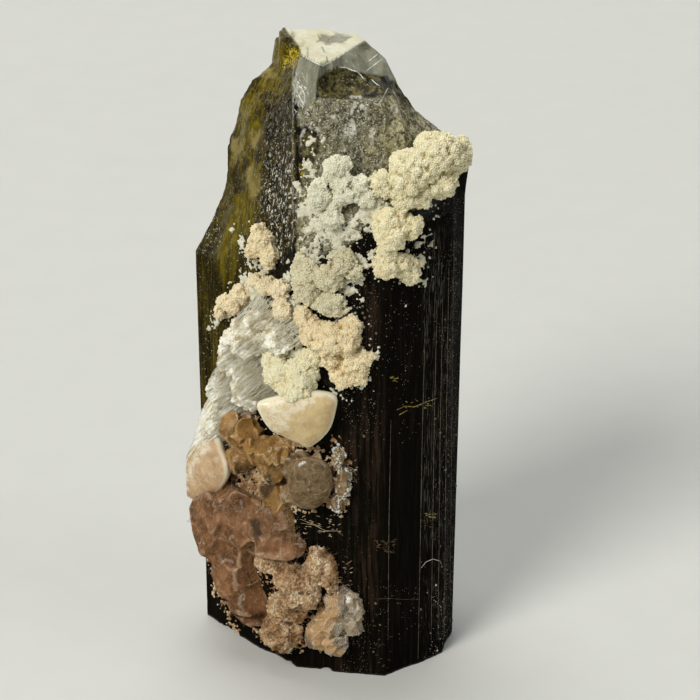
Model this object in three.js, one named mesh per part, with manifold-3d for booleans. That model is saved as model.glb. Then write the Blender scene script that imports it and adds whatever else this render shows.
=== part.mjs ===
// Tourmaline crystal, broken off its rock, with feldspar and quartz grown on its front and left side.
// Millimetres. X runs to the right as seen from the front, Y away from the viewer, Z up the prism.
// The group is moved at the end so that its origin is the middle of the underside.
import * as THREE from 'three';
import { mergeVertices } from 'three/addons/utils/BufferGeometryUtils.js';
import Module from 'manifold-3d';

const wasm = await Module();
wasm.setup();

// Driving dimensions
const TOP_Z = 32.0; // the small flat top face
const FRONT_SLOPE_Z = 24.7; // where the broken front slope leaves the prism
const RIM_Z = 30.5; // top rim of the front slope, in front of the hollow
const LEFT_BREAK_Z = 21.0; // where the broken left side leaves the prism
const SHOULDER_Z = 26.9; // outer end of the right shoulder
const GROOVE_STEP = 1.1; // distance between the growth grooves round the prism
const GROOVE_DEPTH = 0.09;
const SHALLOW_GROOVE = 0.25; // depth of every other groove as a share of that
const GROOVES_END = TOP_Z - 2; // the grooves run out at this height
const GROOVES_RUN_OUT = 4; // and grow shallower over this much below it
const AXIS = [0.0, 5.4]; // x and y of the prism's middle line
const GAP = 0.25; // clearance between pieces that grew on one another
const SMALL_BELOW = 0.86; // a lump with a largest half size under this has the coarsest mesh
const LARGE_FROM = 1.7; // and one of this or more the finest
const KNOB_WAVES = [5.1, 4.3, 4.7]; // waves of the knobs on a lump along x, y and z
const KNOB_SHIFT = [2.1, 1.3]; // how the waves shift with the lump's x and z, so that no two are alike

// Heights of the rings that the crystal's faces are drawn through.
const LEVELS = [
  0, LEFT_BREAK_Z, 22.5, 23.8, FRONT_SLOPE_Z, 26.3, SHOULDER_Z, 27.4,
  28.2, 28.8, 29.8, RIM_Z, 31, TOP_Z,
];

// The crystal's running edges, counter-clockwise seen from above, from the front left ridge.
// Each is a list of [height, x, y] from the underside up to the top face.
const EDGES = {
  ridge: [[0, -1.5, 0.85], [22.5, -1.5, 0.85], [27, -1.48, 2.1], [29.8, -1.42, 3.0], [TOP_Z, -1.15, 4.66]],
  nose: [
    [0, 0.48, 0.4], [FRONT_SLOPE_Z, 0.4, 0.4], [28, -0.13, 1.3], [RIM_Z, -0.12, 2.3], [TOP_Z, -0.03, 2.78],
  ],
  brow: [[0, 1.8, 0.2], [FRONT_SLOPE_Z, 1.8, 0.15], [RIM_Z, 1.5, 2.35], [30.9, 1.1, 3.5], [TOP_Z, 0.4, 3.5]],
  front_right: [
    [0, 3.04, 0], [FRONT_SLOPE_Z, 3.04, 0], [RIM_Z, 2.9, 2.6], [30.9, 2.3, 4.1], [TOP_Z, 0.9, 4.45],
  ],
  bevel: [
    [0, 4.0, 0.75], [FRONT_SLOPE_Z, 4.08, 0.7], [28.5, 3.9, 2.0], [29.6, 3.7, 3.2], [31, 2.3, 5.0],
    [TOP_Z, 1.4, 5.4],
  ],
  line: [
    [0, 5.0, 1.4], [25, 5.12, 1.4], [27.6, 4.9, 2.9], [28.9, 4.05, 4.6], [31.2, 2.75, 5.7],
    [TOP_Z, 1.85, 6.2],
  ],
  right_front: [
    [0, 6.05, 2.3], [25.4, 6.3, 2.3], [SHOULDER_Z, 6.2, 3.4], [27.6, 5.6, 4.7], [28.8, 4.2, 5.6],
    [31.28, 2.88, 6.2], [TOP_Z, 1.95, 6.35],
  ],
  right: [
    [0, 6.67, 4.4], [24.8, 6.92, 4.4], [25.1, 7.1, 4.4], [26.3, 7.1, 4.4], [SHOULDER_Z, 6.9, 4.6],
    [27.4, 6.35, 5.0], [28.1, 4.8, 5.7], [30.2, 3.35, 6.4], [31.3, 2.85, 6.6], [TOP_Z, 1.9, 6.6],
  ],
  right_back: [
    [0, 6.3, 6.6], [26.2, 6.6, 6.6], [27.2, 5.7, 6.9], [28.3, 4.3, 7.1], [30.5, 2.9, 7.3], [TOP_Z, 1.5, 7.4],
  ],
  back_right: [[0, 5.0, 8.9], [25.3, 5.2, 9.0], [27.6, 4.0, 8.8], [30.3, 2.2, 8.2], [TOP_Z, 0.9, 7.9]],
  back: [[0, 2.3, 10.7], [24.2, 2.4, 10.9], [27.2, 2.1, 10.0], [30.2, 1.1, 8.8], [TOP_Z, 0.2, 8.0]],
  back_left: [[0, -0.8, 11.1], [23.4, -0.7, 11.3], [27.0, -0.6, 10.5], [30.4, -0.7, 9.1], [TOP_Z, -0.6, 8.1]],
  left_back: [[0, -3.7, 10.2], [22, -3.7, 10.3], [25.5, -3.2, 10.0], [30.2, -1.9, 9.0], [TOP_Z, -1.3, 8.1]],
  left_rear: [
    [0, -5.6, 8.3], [LEFT_BREAK_Z, -5.7, 8.3], [24.6, -4.4, 8.4], [28.6, -3.6, 8.3], [30.6, -2.3, 8.2],
    [TOP_Z, -1.8, 8.0],
  ],
  left: [
    [0, -6.35, 6.2], [LEFT_BREAK_Z, -6.53, 6.2], [22.2, -5.93, 6.2], [23.8, -5.15, 6.4], [24.6, -4.9, 6.5],
    [26.1, -4.88, 6.6], [27.3, -4.6, 6.7], [27.5, -4.3, 6.7], [28.6, -4.25, 6.8], [29.8, -3.55, 6.8],
    [30.3, -2.9, 6.8], [30.7, -2.55, 6.8], [TOP_Z, -1.75, 6.9],
  ],
  left_front: [
    [0, -5.3, 4.6], [LEFT_BREAK_Z, -5.4, 4.6], [23.6, -4.6, 5.0], [26, -4.25, 5.2], [28.6, -3.7, 5.6],
    [30.4, -2.4, 5.9], [TOP_Z, -1.5, 6.2],
  ],
  flank: [[0, -3.5, 2.8], [23, -3.5, 2.8], [26.6, -3.2, 3.9], [29.4, -2.5, 4.7], [TOP_Z, -1.3, 5.6]],
  ridge_side: [[0, -1.9, 1.35], [22.5, -1.9, 1.35], [27, -1.85, 2.7], [29.8, -1.75, 3.7], [TOP_Z, -1.2, 5.0]],
};

// The spans between these edges keep the clean flat of a broken face and take no growth grooves.
const SMOOTH_SPANS = ['ridge_side'];

// A point on a running edge at a height.
function edgePoint(edge, z) {
  const upper = edge.findIndex((p) => p[0] >= z);
  if (upper <= 0) return [edge[0][1], edge[0][2]];
  const [z0, x0, y0] = edge[upper - 1];
  const [z1, x1, y1] = edge[upper];
  const t = (z - z0) / (z1 - z0);
  return [x0 + t * (x1 - x0), y0 + t * (y1 - y0)];
}

// The crystal's outline at a height, grown outwards by `grow`, with or without its growth grooves.
function outlineAt(z, grow, grooved) {
  const names = Object.keys(EDGES);
  const ring = [];
  names.forEach((name, i) => {
    const next = names[(i + 1) % names.length];
    const a = edgePoint(EDGES[name], z);
    const b = edgePoint(EDGES[next], z);
    const base = edgePoint(EDGES[name], 0);
    const baseNext = edgePoint(EDGES[next], 0);
    const span = Math.hypot(baseNext[0] - base[0], baseNext[1] - base[1]);
    const plain = !grooved || SMOOTH_SPANS.includes(name);
    const steps = plain ? 1 : Math.max(1, Math.round(span / GROOVE_STEP));
    const fade = THREE.MathUtils.clamp((GROOVES_END - z) / GROOVES_RUN_OUT, 0, 1);
    const length = Math.hypot(b[0] - a[0], b[1] - a[1]) || 1;
    const outX = (b[1] - a[1]) / length;
    const outY = -(b[0] - a[0]) / length;
    for (let k = 0; k < steps; k += 1) {
      const t = k / steps;
      const inset = k === 0 ? 0 : -GROOVE_DEPTH * fade * (k % 2 ? 1 : SHALLOW_GROOVE);
      const x = a[0] + t * (b[0] - a[0]) + outX * inset;
      const y = a[1] + t * (b[1] - a[1]) + outY * inset;
      ring.push([x, y]);
    }
  });
  return ring.map(([x, y]) => {
    const k = 1 + grow / Math.hypot(x - AXIS[0], y - AXIS[1]);
    return [AXIS[0] + (x - AXIS[0]) * k, AXIS[1] + (y - AXIS[1]) * k];
  });
}

// A closed mesh as a solid that can be joined and cut.
function toSolid(geometry) {
  const bare = geometry.index ? geometry.toNonIndexed() : geometry.clone();
  bare.deleteAttribute('normal');
  bare.deleteAttribute('uv');
  const merged = mergeVertices(bare, 1e-4);
  return new wasm.Manifold(new wasm.Mesh({
    numProp: 3,
    vertProperties: merged.attributes.position.array,
    triVerts: new Uint32Array(merged.index.array),
  }));
}

// A solid back as a flat-shaded geometry.
function toGeometry(solid) {
  const { vertProperties, triVerts, numProp } = solid.getMesh();
  const count = vertProperties.length / numProp;
  const positions = new Float32Array(count * 3);
  for (let i = 0; i < count; i += 1) {
    positions.set(vertProperties.subarray(i * numProp, i * numProp + 3), i * 3);
  }
  const geometry = new THREE.BufferGeometry();
  geometry.setAttribute('position', new THREE.BufferAttribute(positions, 3));
  geometry.setIndex(new THREE.BufferAttribute(new Uint32Array(triVerts), 1));
  const flat = geometry.toNonIndexed();
  flat.computeVertexNormals();
  return flat;
}

// The rings of the crystal joined into one closed mesh, before its hollows are cut.
function prismSolid(grow, grooved) {
  const rings = LEVELS.map((z) => {
    const reach = z === 0 ? -grow : z === TOP_Z ? grow : 0;
    return outlineAt(z, grow, grooved).map(([x, y]) => new THREE.Vector3(x, y, z + reach));
  });
  const count = rings[0].length;
  const triangles = [];
  for (let level = 0; level + 1 < rings.length; level += 1) {
    for (let i = 0; i < count; i += 1) {
      const j = (i + 1) % count;
      const [a, b, c, d] = [rings[level][i], rings[level][j], rings[level + 1][j], rings[level + 1][i]];
      triangles.push(a, b, c, a, c, d);
    }
  }
  const cap = (ring, facesUp) => {
    const flat = ring.map((p) => new THREE.Vector2(p.x, p.y));
    for (const [i, j, k] of THREE.ShapeUtils.triangulateShape(flat, [])) {
      triangles.push(...(facesUp ? [ring[i], ring[j], ring[k]] : [ring[i], ring[k], ring[j]]));
    }
  };
  cap(rings[0], false);
  cap(rings[rings.length - 1], true);
  return toSolid(new THREE.BufferGeometry().setFromPoints(triangles));
}

// A rounded lump: its centre, its half sizes, and its lean to the right in degrees as the viewer sees it.
function lumpGeometry([x, y, z, rx, ry, rz, lean = 0], grow, knobs) {
  const size = Math.max(rx, ry, rz);
  const geometry = size < SMALL_BELOW
    ? new THREE.DodecahedronGeometry(1, 0)
    : new THREE.IcosahedronGeometry(1, size < LARGE_FROM ? 1 : 2);
  const at = geometry.attributes.position;
  const phase = KNOB_SHIFT[0] * x + KNOB_SHIFT[1] * z;
  const [waveX, waveY, waveZ] = KNOB_WAVES;
  for (let i = 0; i < at.count; i += 1) {
    const p = new THREE.Vector3().fromBufferAttribute(at, i);
    const waves = [waveX * p.x + phase, waveY * p.y + 2 * phase, waveZ * p.z - phase];
    const bump = waves.reduce((product, wave) => product * Math.sin(wave), 1);
    p.multiplyScalar(1 + knobs * bump);
    at.setXYZ(i, p.x * (rx + grow), p.y * (ry + grow), p.z * (rz + grow));
  }
  geometry.rotateY(THREE.MathUtils.degToRad(lean));
  geometry.translate(x, y, z);
  return geometry;
}

// Lumps grown together as one solid.
function clusterSolid(cluster, grow) {
  const [first, ...rest] = cluster.lumps.map(
    (lump) => toSolid(lumpGeometry(lump, grow, cluster.knobs)));
  return rest.reduce((whole, lump) => whole.add(lump), first);
}

// Hollows broken into the crystal, as lumps that are cut away.
const HOLLOWS = [
  [1.5, 2.9, 31.0, 1.75, 1.15, 0.75, 4], // the dark scoop behind the rim of the front slope
  [-0.75, 0.75, 28.1, 0.6, 0.9, 0.75, 0], // the dark oval left of the front slope
  [1.0, 7.9, 32.3, 1.0, 0.75, 0.45, 0], // the chip on the back of the top face
];

// The horn of thin crystal that stands up along the left of the top face, as splinters with flat sides:
// x and y of the middle, lower and upper height, half widths across and in depth, and the lean in degrees.
const HORN = [
  [-1.95, 6.7, 28.6, 32.3, 0.52, 1.25, 3],
  [-1.4, 6.0, 28.8, 32.1, 0.55, 1.1, 2],
  [-2.3, 7.3, 28.4, 31.7, 0.42, 0.9, 5],
];
const SPLINTER_SIDES = 7;
const SPLINTER_TAPER = 0.72; // width at the tip as a share of the width at the foot
const HOLLOW_KNOBS = 0.08;

// A splinter: a tapered prism with flat sides.
function splinterGeometry([x, y, bottom, top, halfX, halfY, lean], grow) {
  const height = top - bottom + 2 * grow;
  const geometry = new THREE.CylinderGeometry(SPLINTER_TAPER, 1, height, SPLINTER_SIDES);
  geometry.rotateX(Math.PI / 2);
  geometry.scale(halfX + grow, halfY + grow, 1);
  geometry.rotateY(THREE.MathUtils.degToRad(lean));
  geometry.translate(x, y, (bottom + top) / 2);
  return geometry;
}

function crystalSolid(grow, grooved) {
  let solid = prismSolid(grow, grooved);
  for (const splinter of HORN) solid = solid.add(toSolid(splinterGeometry(splinter, grow)));
  for (const lump of HOLLOWS) solid = solid.subtract(toSolid(lumpGeometry(lump, -grow, HOLLOW_KNOBS)));
  return solid;
}

// The minerals on the crystal: each later one is cut back where it meets an earlier one.
const FELDSPAR = { knobs: 0.14, roughness: 0.9 };
const QUARTZ = { knobs: 0.04, roughness: 0.25 };
const CLUSTERS = [
  {
    ...QUARTZ, name: 'lens_quartz', colour: 0xcdb98c,
    lumps: [[-1.5, 0.4, 14.8, 1.85, 1.1, 1.05, 8], [-0.7, 0.2, 14.3, 1.1, 1.1, 1.15]],
  },
  {
    ...FELDSPAR, name: 'muffin_feldspar', colour: 0xe9dfb0,
    lumps: [
      [-2.1, 1.0, 16.7, 0.9, 0.9, 0.9], [-1.1, 0.4, 17.0, 0.85, 0.9, 0.9], [-2.6, 1.6, 17.1, 0.5, 0.6, 0.6],
      [-1.4, 0.4, 16.2, 0.95, 0.9, 0.55], [-0.7, 0.4, 17.8, 0.65, 0.7, 0.65],
    ],
  },
  {
    ...FELDSPAR, name: 'saddle_feldspar', colour: 0xe9d8b0,
    lumps: [
      [-1.0, 0.4, 20.0, 0.5, 0.6, 0.6], [-0.5, 0.2, 19.3, 0.75, 0.8, 0.85], [0.3, -0.1, 19.0, 0.9, 0.9, 0.8],
      [1.3, 0.0, 19.7, 0.6, 0.6, 0.7], [1.1, -0.1, 18.9, 0.65, 0.8, 0.7], [0.3, 0.2, 18.0, 0.75, 0.7, 0.65],
      [1.5, -0.1, 17.8, 0.7, 0.7, 0.7], [2.0, -0.2, 18.1, 0.45, 0.5, 0.4], [1.0, 0.0, 17.1, 0.7, 0.65, 0.65],
      [1.6, -0.1, 17.1, 0.5, 0.5, 0.5],
    ],
  },
  {
    ...FELDSPAR, name: 'middle_feldspar', colour: 0xc9c6a4,
    lumps: [
      [-0.8, 0.4, 21.8, 0.75, 0.6, 1.25], [0.2, 0.1, 22.2, 0.75, 0.6, 0.75], [0.9, 0.0, 23.1, 0.75, 0.6, 0.7],
      [1.4, 0.0, 22.6, 0.5, 0.5, 0.55], [0.3, 0.1, 20.9, 0.8, 0.6, 0.7], [1.0, 0.1, 20.4, 0.45, 0.4, 0.4],
      [-1.1, 0.5, 22.8, 0.4, 0.4, 0.5],
    ],
  },
  {
    ...FELDSPAR, name: 'column_feldspar', colour: 0xe8d9a8,
    lumps: [
      [3.1, 0.0, 25.1, 0.75, 0.75, 0.75], [3.2, -0.3, 24.4, 0.7, 0.65, 0.7], [4.1, 0.3, 24.8, 0.8, 0.65, 0.6],
      [3.0, -0.2, 23.6, 0.45, 0.5, 0.55], [3.0, -0.3, 22.9, 0.65, 0.6, 0.55], [3.7, 0.2, 22.9, 0.6, 0.6, 0.65],
      [4.2, 0.5, 22.4, 0.55, 0.6, 0.75],
    ],
  },
  {
    ...FELDSPAR, name: 'shoulder_feldspar', colour: 0xe2d4a6,
    lumps: [
      [5.5, 1.2, 28.2, 1.1, 1.0, 1.0], [6.3, 2.3, 27.6, 0.75, 1.1, 0.85], [4.4, 0.9, 27.5, 1.15, 0.95, 1.0],
      [3.9, 0.5, 26.8, 0.8, 0.8, 0.8], [3.8, 0.5, 26.1, 0.6, 0.55, 0.55], [2.8, 0.8, 26.7, 0.65, 0.6, 0.7],
      [5.6, 1.3, 26.7, 0.8, 0.9, 0.8], [4.6, 0.7, 26.2, 0.6, 0.6, 0.6],
    ],
  },
  {
    ...FELDSPAR, name: 'upper_feldspar', colour: 0xd3d2ae,
    lumps: [
      [0.6, 1.0, 27.5, 0.7, 0.7, 0.7], [0.9, 0.8, 26.8, 0.6, 0.6, 0.55], [-0.2, 0.5, 26.2, 0.5, 0.6, 0.9],
      [1.0, 0.5, 26.3, 0.7, 0.6, 0.5], [1.8, 0.8, 26.7, 0.45, 0.5, 0.55], [2.1, 0.6, 26.1, 0.4, 0.45, 0.4],
      [0.4, 0.2, 25.2, 0.6, 0.5, 0.5], [0.4, 0.4, 25.7, 0.45, 0.45, 0.45],
    ],
  },
  {
    ...FELDSPAR, name: 'left_feldspar_upper', colour: 0xe0cfa6,
    lumps: [
      [-3.1, 2.0, 23.2, 0.65, 0.6, 0.75], [-2.7, 1.7, 22.6, 0.45, 0.5, 0.7], [-3.5, 2.4, 22.6, 0.4, 0.5, 0.4],
      [-3.3, 2.2, 23.8, 0.3, 0.4, 0.4],
    ],
  },
  {
    ...FELDSPAR, name: 'left_feldspar_middle', colour: 0xdfd0a8,
    lumps: [
      [-2.1, 1.1, 21.1, 0.6, 0.5, 0.55], [-2.0, 0.9, 20.2, 0.6, 0.6, 0.7], [-2.8, 1.6, 21.1, 0.65, 0.55, 0.45],
      [-3.3, 2.2, 21.1, 0.45, 0.5, 0.4],
    ],
  },
  {
    ...FELDSPAR, name: 'left_feldspar_lower', colour: 0xdccaa4,
    lumps: [
      [-4.2, 3.0, 20.0, 0.55, 0.5, 0.55], [-4.9, 3.6, 19.4, 0.5, 0.5, 0.5], [-4.5, 3.3, 19.3, 0.5, 0.5, 0.5],
      [-5.2, 3.9, 18.7, 0.35, 0.45, 0.5],
    ],
  },
  {
    ...QUARTZ, name: 'finger_quartz', colour: 0xd6c2a0,
    lumps: [[-6.2, 4.7, 9.0, 0.95, 0.9, 1.1, 20], [-5.7, 4.2, 10.3, 0.65, 0.8, 1.0, 24]],
  },
  {
    ...FELDSPAR, name: 'silky_crust', colour: 0xd9d2bb, knobs: 0.08,
    lumps: [
      [-3.0, 1.9, 18.7, 1.1, 0.6, 0.9, 25], [-4.2, 2.9, 16.9, 1.1, 0.7, 1.3, 25],
      [-2.2, 1.1, 18.5, 0.8, 0.7, 0.7, 25], [-3.8, 2.4, 17.9, 1.0, 0.8, 1.0, 25],
      [-4.9, 3.6, 14.8, 0.8, 0.7, 1.4, 22], [-3.6, 2.4, 15.2, 1.1, 0.8, 1.1],
      [-5.4, 4.0, 12.8, 0.5, 0.6, 1.3, 20],
    ],
  },
  {
    ...QUARTZ, name: 'clear_quartz', colour: 0xb5aa94,
    lumps: [
      [-0.6, 0.2, 11.2, 1.2, 1.0, 1.15], [-1.2, 0.4, 11.7, 1.0, 0.8, 0.95], [0.7, 0.1, 12.6, 0.45, 0.6, 0.75],
      [0.9, 0.0, 11.2, 0.5, 0.6, 1.05], [0.7, 0.1, 10.0, 0.55, 0.6, 0.7], [-1.6, 0.6, 10.2, 0.75, 0.7, 0.65],
    ],
  },
  {
    ...QUARTZ, name: 'tan_quartz', colour: 0x94724a,
    lumps: [
      [-4.0, 2.7, 12.6, 1.4, 1.0, 1.05, 20], [-2.3, 1.1, 12.1, 1.3, 0.9, 1.0, -15],
      [-3.3, 2.0, 12.1, 1.0, 0.9, 0.85], [-4.2, 3.0, 10.9, 1.0, 0.8, 0.75], [-2.6, 1.4, 11.1, 0.75, 0.7, 0.75],
    ],
  },
  {
    ...QUARTZ, name: 'smoky_quartz', colour: 0x8c6950,
    lumps: [
      [-4.9, 3.3, 7.7, 1.65, 1.2, 1.4], [-3.2, 1.9, 7.8, 1.1, 0.95, 1.1], [-5.6, 4.0, 6.6, 1.15, 1.2, 1.6],
      [-5.3, 3.8, 5.5, 1.2, 1.1, 1.2], [-2.4, 1.3, 8.5, 1.0, 0.75, 0.8], [-2.2, 1.1, 7.2, 1.25, 0.8, 0.7],
      [-4.5, 3.2, 4.1, 1.4, 1.1, 1.3], [-3.8, 2.7, 2.6, 1.2, 1.0, 1.3],
    ],
  },
  {
    ...FELDSPAR, name: 'sandy_feldspar', colour: 0xc4a274,
    lumps: [
      [-2.5, 1.4, 5.9, 1.2, 0.8, 0.7, 10], [-1.5, 0.5, 5.3, 1.3, 0.9, 0.85, 15],
      [-1.2, 0.4, 4.5, 1.1, 0.8, 0.8], [-0.4, 0.2, 6.5, 0.6, 0.6, 0.95], [0.2, 0.2, 5.9, 0.5, 0.6, 1.1],
      [-1.9, 0.8, 3.6, 1.2, 0.8, 0.85], [-2.2, 1.0, 2.1, 1.2, 1.0, 1.2],
    ],
  },
  {
    ...QUARTZ, name: 'foot_quartz', colour: 0xb9a488,
    lumps: [
      [0.7, 0.0, 4.3, 0.85, 0.8, 1.0], [1.3, 0.0, 4.0, 0.55, 0.6, 1.0], [1.5, -0.1, 2.9, 0.6, 0.55, 0.55],
      [0.3, 0.1, 3.1, 0.9, 0.8, 0.9], [0.4, 0.1, 1.9, 0.65, 0.65, 0.7], [-0.4, 0.3, 2.2, 0.75, 0.7, 0.9],
    ],
  },
];

function pieceMesh(name, solid, colour, roughness) {
  const material = new THREE.MeshStandardMaterial({ color: colour, roughness, metalness: 0 });
  const mesh = new THREE.Mesh(toGeometry(solid), material);
  mesh.name = name;
  return mesh;
}

const CRYSTAL = { colour: 0x14110a, roughness: 0.3 };
const specimen = new THREE.Group();
specimen.add(pieceMesh('tourmaline_crystal', crystalSolid(0, true), CRYSTAL.colour, CRYSTAL.roughness));

const grownCrystal = crystalSolid(GAP, false);
const grownBefore = [];
for (const cluster of CLUSTERS) {
  let solid = clusterSolid(cluster, 0).subtract(grownCrystal);
  for (const earlier of grownBefore) solid = solid.subtract(earlier);
  // A crumb that the cuts part from its piece falls away.
  const bodies = solid.decompose().sort((a, b) => b.volume() - a.volume());
  specimen.add(pieceMesh(cluster.name, bodies[0], cluster.colour, cluster.roughness));
  grownBefore.push(clusterSolid(cluster, GAP));
}

// The origin goes to the middle of the underside of the whole specimen.
const box = new THREE.Box3().setFromObject(specimen);
const centre = box.getCenter(new THREE.Vector3());
specimen.position.set(-centre.x, -centre.y, -box.min.z);

export default specimen;
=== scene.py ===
"""Tourmaline crystal with feldspar and quartz grown on it: its surfaces, crusts, fibres and stage.

Shapes are worked out in millimetres and become metres when a piece is finished.
"""
import itertools
import math

import bmesh
import bpy
import numpy as np
from bpy.props import FloatProperty, FloatVectorProperty, IntProperty, PointerProperty
from bpy.types import Operator, Panel, PropertyGroup
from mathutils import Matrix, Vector
from mathutils.bvhtree import BVHTree


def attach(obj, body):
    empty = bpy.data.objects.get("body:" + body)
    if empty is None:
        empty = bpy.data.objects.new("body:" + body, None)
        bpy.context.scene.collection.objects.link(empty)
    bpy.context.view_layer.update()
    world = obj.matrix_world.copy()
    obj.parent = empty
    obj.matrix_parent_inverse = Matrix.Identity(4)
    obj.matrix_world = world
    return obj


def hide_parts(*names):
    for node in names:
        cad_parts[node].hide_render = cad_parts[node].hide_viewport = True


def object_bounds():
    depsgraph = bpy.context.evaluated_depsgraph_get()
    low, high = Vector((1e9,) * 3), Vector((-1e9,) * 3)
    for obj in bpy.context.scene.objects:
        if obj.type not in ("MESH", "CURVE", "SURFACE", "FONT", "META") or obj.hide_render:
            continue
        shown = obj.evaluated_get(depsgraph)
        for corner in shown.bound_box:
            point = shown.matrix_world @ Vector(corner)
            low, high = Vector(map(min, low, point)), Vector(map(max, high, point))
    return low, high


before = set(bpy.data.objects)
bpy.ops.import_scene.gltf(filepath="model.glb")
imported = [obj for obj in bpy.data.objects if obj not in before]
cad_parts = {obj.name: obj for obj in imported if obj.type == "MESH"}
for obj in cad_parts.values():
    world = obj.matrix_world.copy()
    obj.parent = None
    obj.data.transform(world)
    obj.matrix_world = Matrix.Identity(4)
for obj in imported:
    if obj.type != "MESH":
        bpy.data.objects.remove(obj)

bl_info = {
    "name": "Tourmaline Crystal Finish",
    "version": (1, 0, 0),
    "blender": (4, 5, 0),
    "location": "3D View > Sidebar > Crystal",
    "description": "Surfaces, crusts and fibres for a tourmaline crystal with feldspar and quartz",
    "category": "Object",
}

CAD_BOX = [list(corner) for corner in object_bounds()]
MM = 0.001  # metres in a millimetre
BODY = "root"

# The view: the photograph's frame is 700 pixels square, and the lens is long.
FRAME_CENTRE = 350.0
FOCAL_PIXELS = 2850.0
FRAME_PIXELS = 700.0
SENSOR_MM = 36.0
VIEW_ELEVATION = math.radians(25)
VIEW_DISTANCE = 142.5
VIEW_AIM = np.array([1.283, -1.148, 16.55])
VIEW_RIGHT = np.array([1.0, 0.0, 0.0])
VIEW_AHEAD = np.array([0.0, math.cos(VIEW_ELEVATION), -math.sin(VIEW_ELEVATION)])
VIEW_UP = np.array([0.0, math.sin(VIEW_ELEVATION), math.cos(VIEW_ELEVATION)])
VIEW_FROM = VIEW_AIM - VIEW_DISTANCE * VIEW_AHEAD

# The faces that the minerals lie on
FRONT = np.array([0.0, -1.0, 0.0])
FLANK = np.array([-0.67, -0.74, 0.0])


# Places on the broken top, as outlines in the photograph's pixels
HORN = [
    (273, 25), (281, 27), (288, 32), (295.5, 40.4), (300.3, 48.7), (300.9, 54.4), (297, 66),
    (291.3, 74.8), (282.4, 77.4), (272.2, 64.6), (272, 42),
]
HORN_DARK = [(280.5, 31.5), (287, 33), (295, 41), (298, 46), (289, 47), (282.5, 44)]
# The horn's gold and tan: painted light passing through the thin crystal
HORN_GOLD = [(287, 46), (300, 48), (298, 58), (294, 65.5), (286, 65), (282, 72), (279, 70), (284, 60)]
HORN_TAN = [(275.5, 43), (284, 45), (285, 55), (280, 66), (272, 62)]
# Where the top face's cream lies: a painted reflection of the bright light above
TOP_FACE = [
    (284, 26), (306, 22), (330, 24), (352, 29), (364, 36), (366, 40), (351, 48.7), (337.6, 57.6),
    (323.6, 65.6), (310.5, 60.2), (300.9, 54.4), (300.3, 48.7), (295.5, 40.4), (288, 32),
]
TOP_NOTCH = [(319.8, 34.5), (338, 34), (351, 37.2), (344.6, 42.3), (335.7, 43.6), (326, 45.5), (319, 40.4)]
TOP_CRACKS = [
    [(307.6, 47.6), (307.8, 56)], [(322, 47), (324.5, 52)], [(326.6, 57), (327.6, 61)],
    [(318.3, 35), (320.4, 40.5)],
]
# Grey facets of the broken top: a frosted break, its grey partly a painted reflection of the bright room
GREY_LEFT = [
    (299, 55.7), (310.5, 60.8), (324, 66.5), (328, 71), (317, 80.6), (315.3, 99.7), (306.4, 110),
    (298.3, 106), (294.5, 96.5), (292.6, 83.8), (295, 71),
]
SCRIBBLES = [(294, 84), (303, 84), (306, 96), (309, 112), (300, 114), (295, 104)]
GREY_RIGHT = [
    (324.2, 66), (363.8, 40.4), (369, 41), (377, 48), (385, 55.7), (392, 64.6), (402, 80.6),
    (390.6, 80), (387.4, 75.5), (378.4, 75.5), (363.8, 73), (351, 70.4), (338.9, 67.8), (328, 71),
]
SLATE = [(358, 45), (364, 41.5), (374, 47), (368, 50), (359, 50.5)]
HOLLOW = [
    (316, 82), (324.2, 73.5), (335.7, 66.5), (349.7, 70.5), (360, 75.5), (370, 81), (383, 86), (392, 92),
    (388, 96), (373.3, 92), (363.8, 95.3), (354.2, 98.4), (341.5, 99), (326.8, 98.4), (318, 95),
]
HOLLOW_GOLD = [(366, 75), (380, 77), (381, 82), (372, 80)]
DARK_SLIVER = [(390, 80), (400, 84), (409, 97), (413, 108), (405, 106), (395, 96)]
PALE_RIMS = [
    [(323.6, 65.8), (337.6, 57.8), (351, 48.9), (363.8, 40.6)],
    [(324, 66.5), (315.6, 63), (300.9, 55)],
    [(338.9, 67.2), (345.9, 67.4), (352.3, 70.4), (357.4, 71.7), (361.2, 75.5), (363.8, 79.3)],
    [(379, 53.2), (367.6, 62.1)], [(382.9, 58.3), (365.7, 71.7)],
    [(388, 88), (383, 97.5), (378.4, 104.7), (373, 102.5)],
    [(371, 79), (376, 83.5), (380, 86)], [(392.4, 90), (396, 96), (400, 104)],
    [(365, 40.5), (377, 49.5), (386, 59), (394, 71.5), (400, 83)],
    [(295.8, 83), (301, 87.5), (304.5, 94), (305, 101)], [(297, 91), (300.5, 99), (304, 105)],
]
SLOPE = [
    (298, 108), (312, 100), (334, 96), (354, 98.4), (392, 94), (404, 102), (414, 106), (427, 120), (446, 134),
    (452, 150), (430, 165), (420, 208), (372, 214), (345, 250), (296, 262), (296, 190), (312, 160),
    (322, 145), (316, 130), (298, 126),
]
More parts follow.
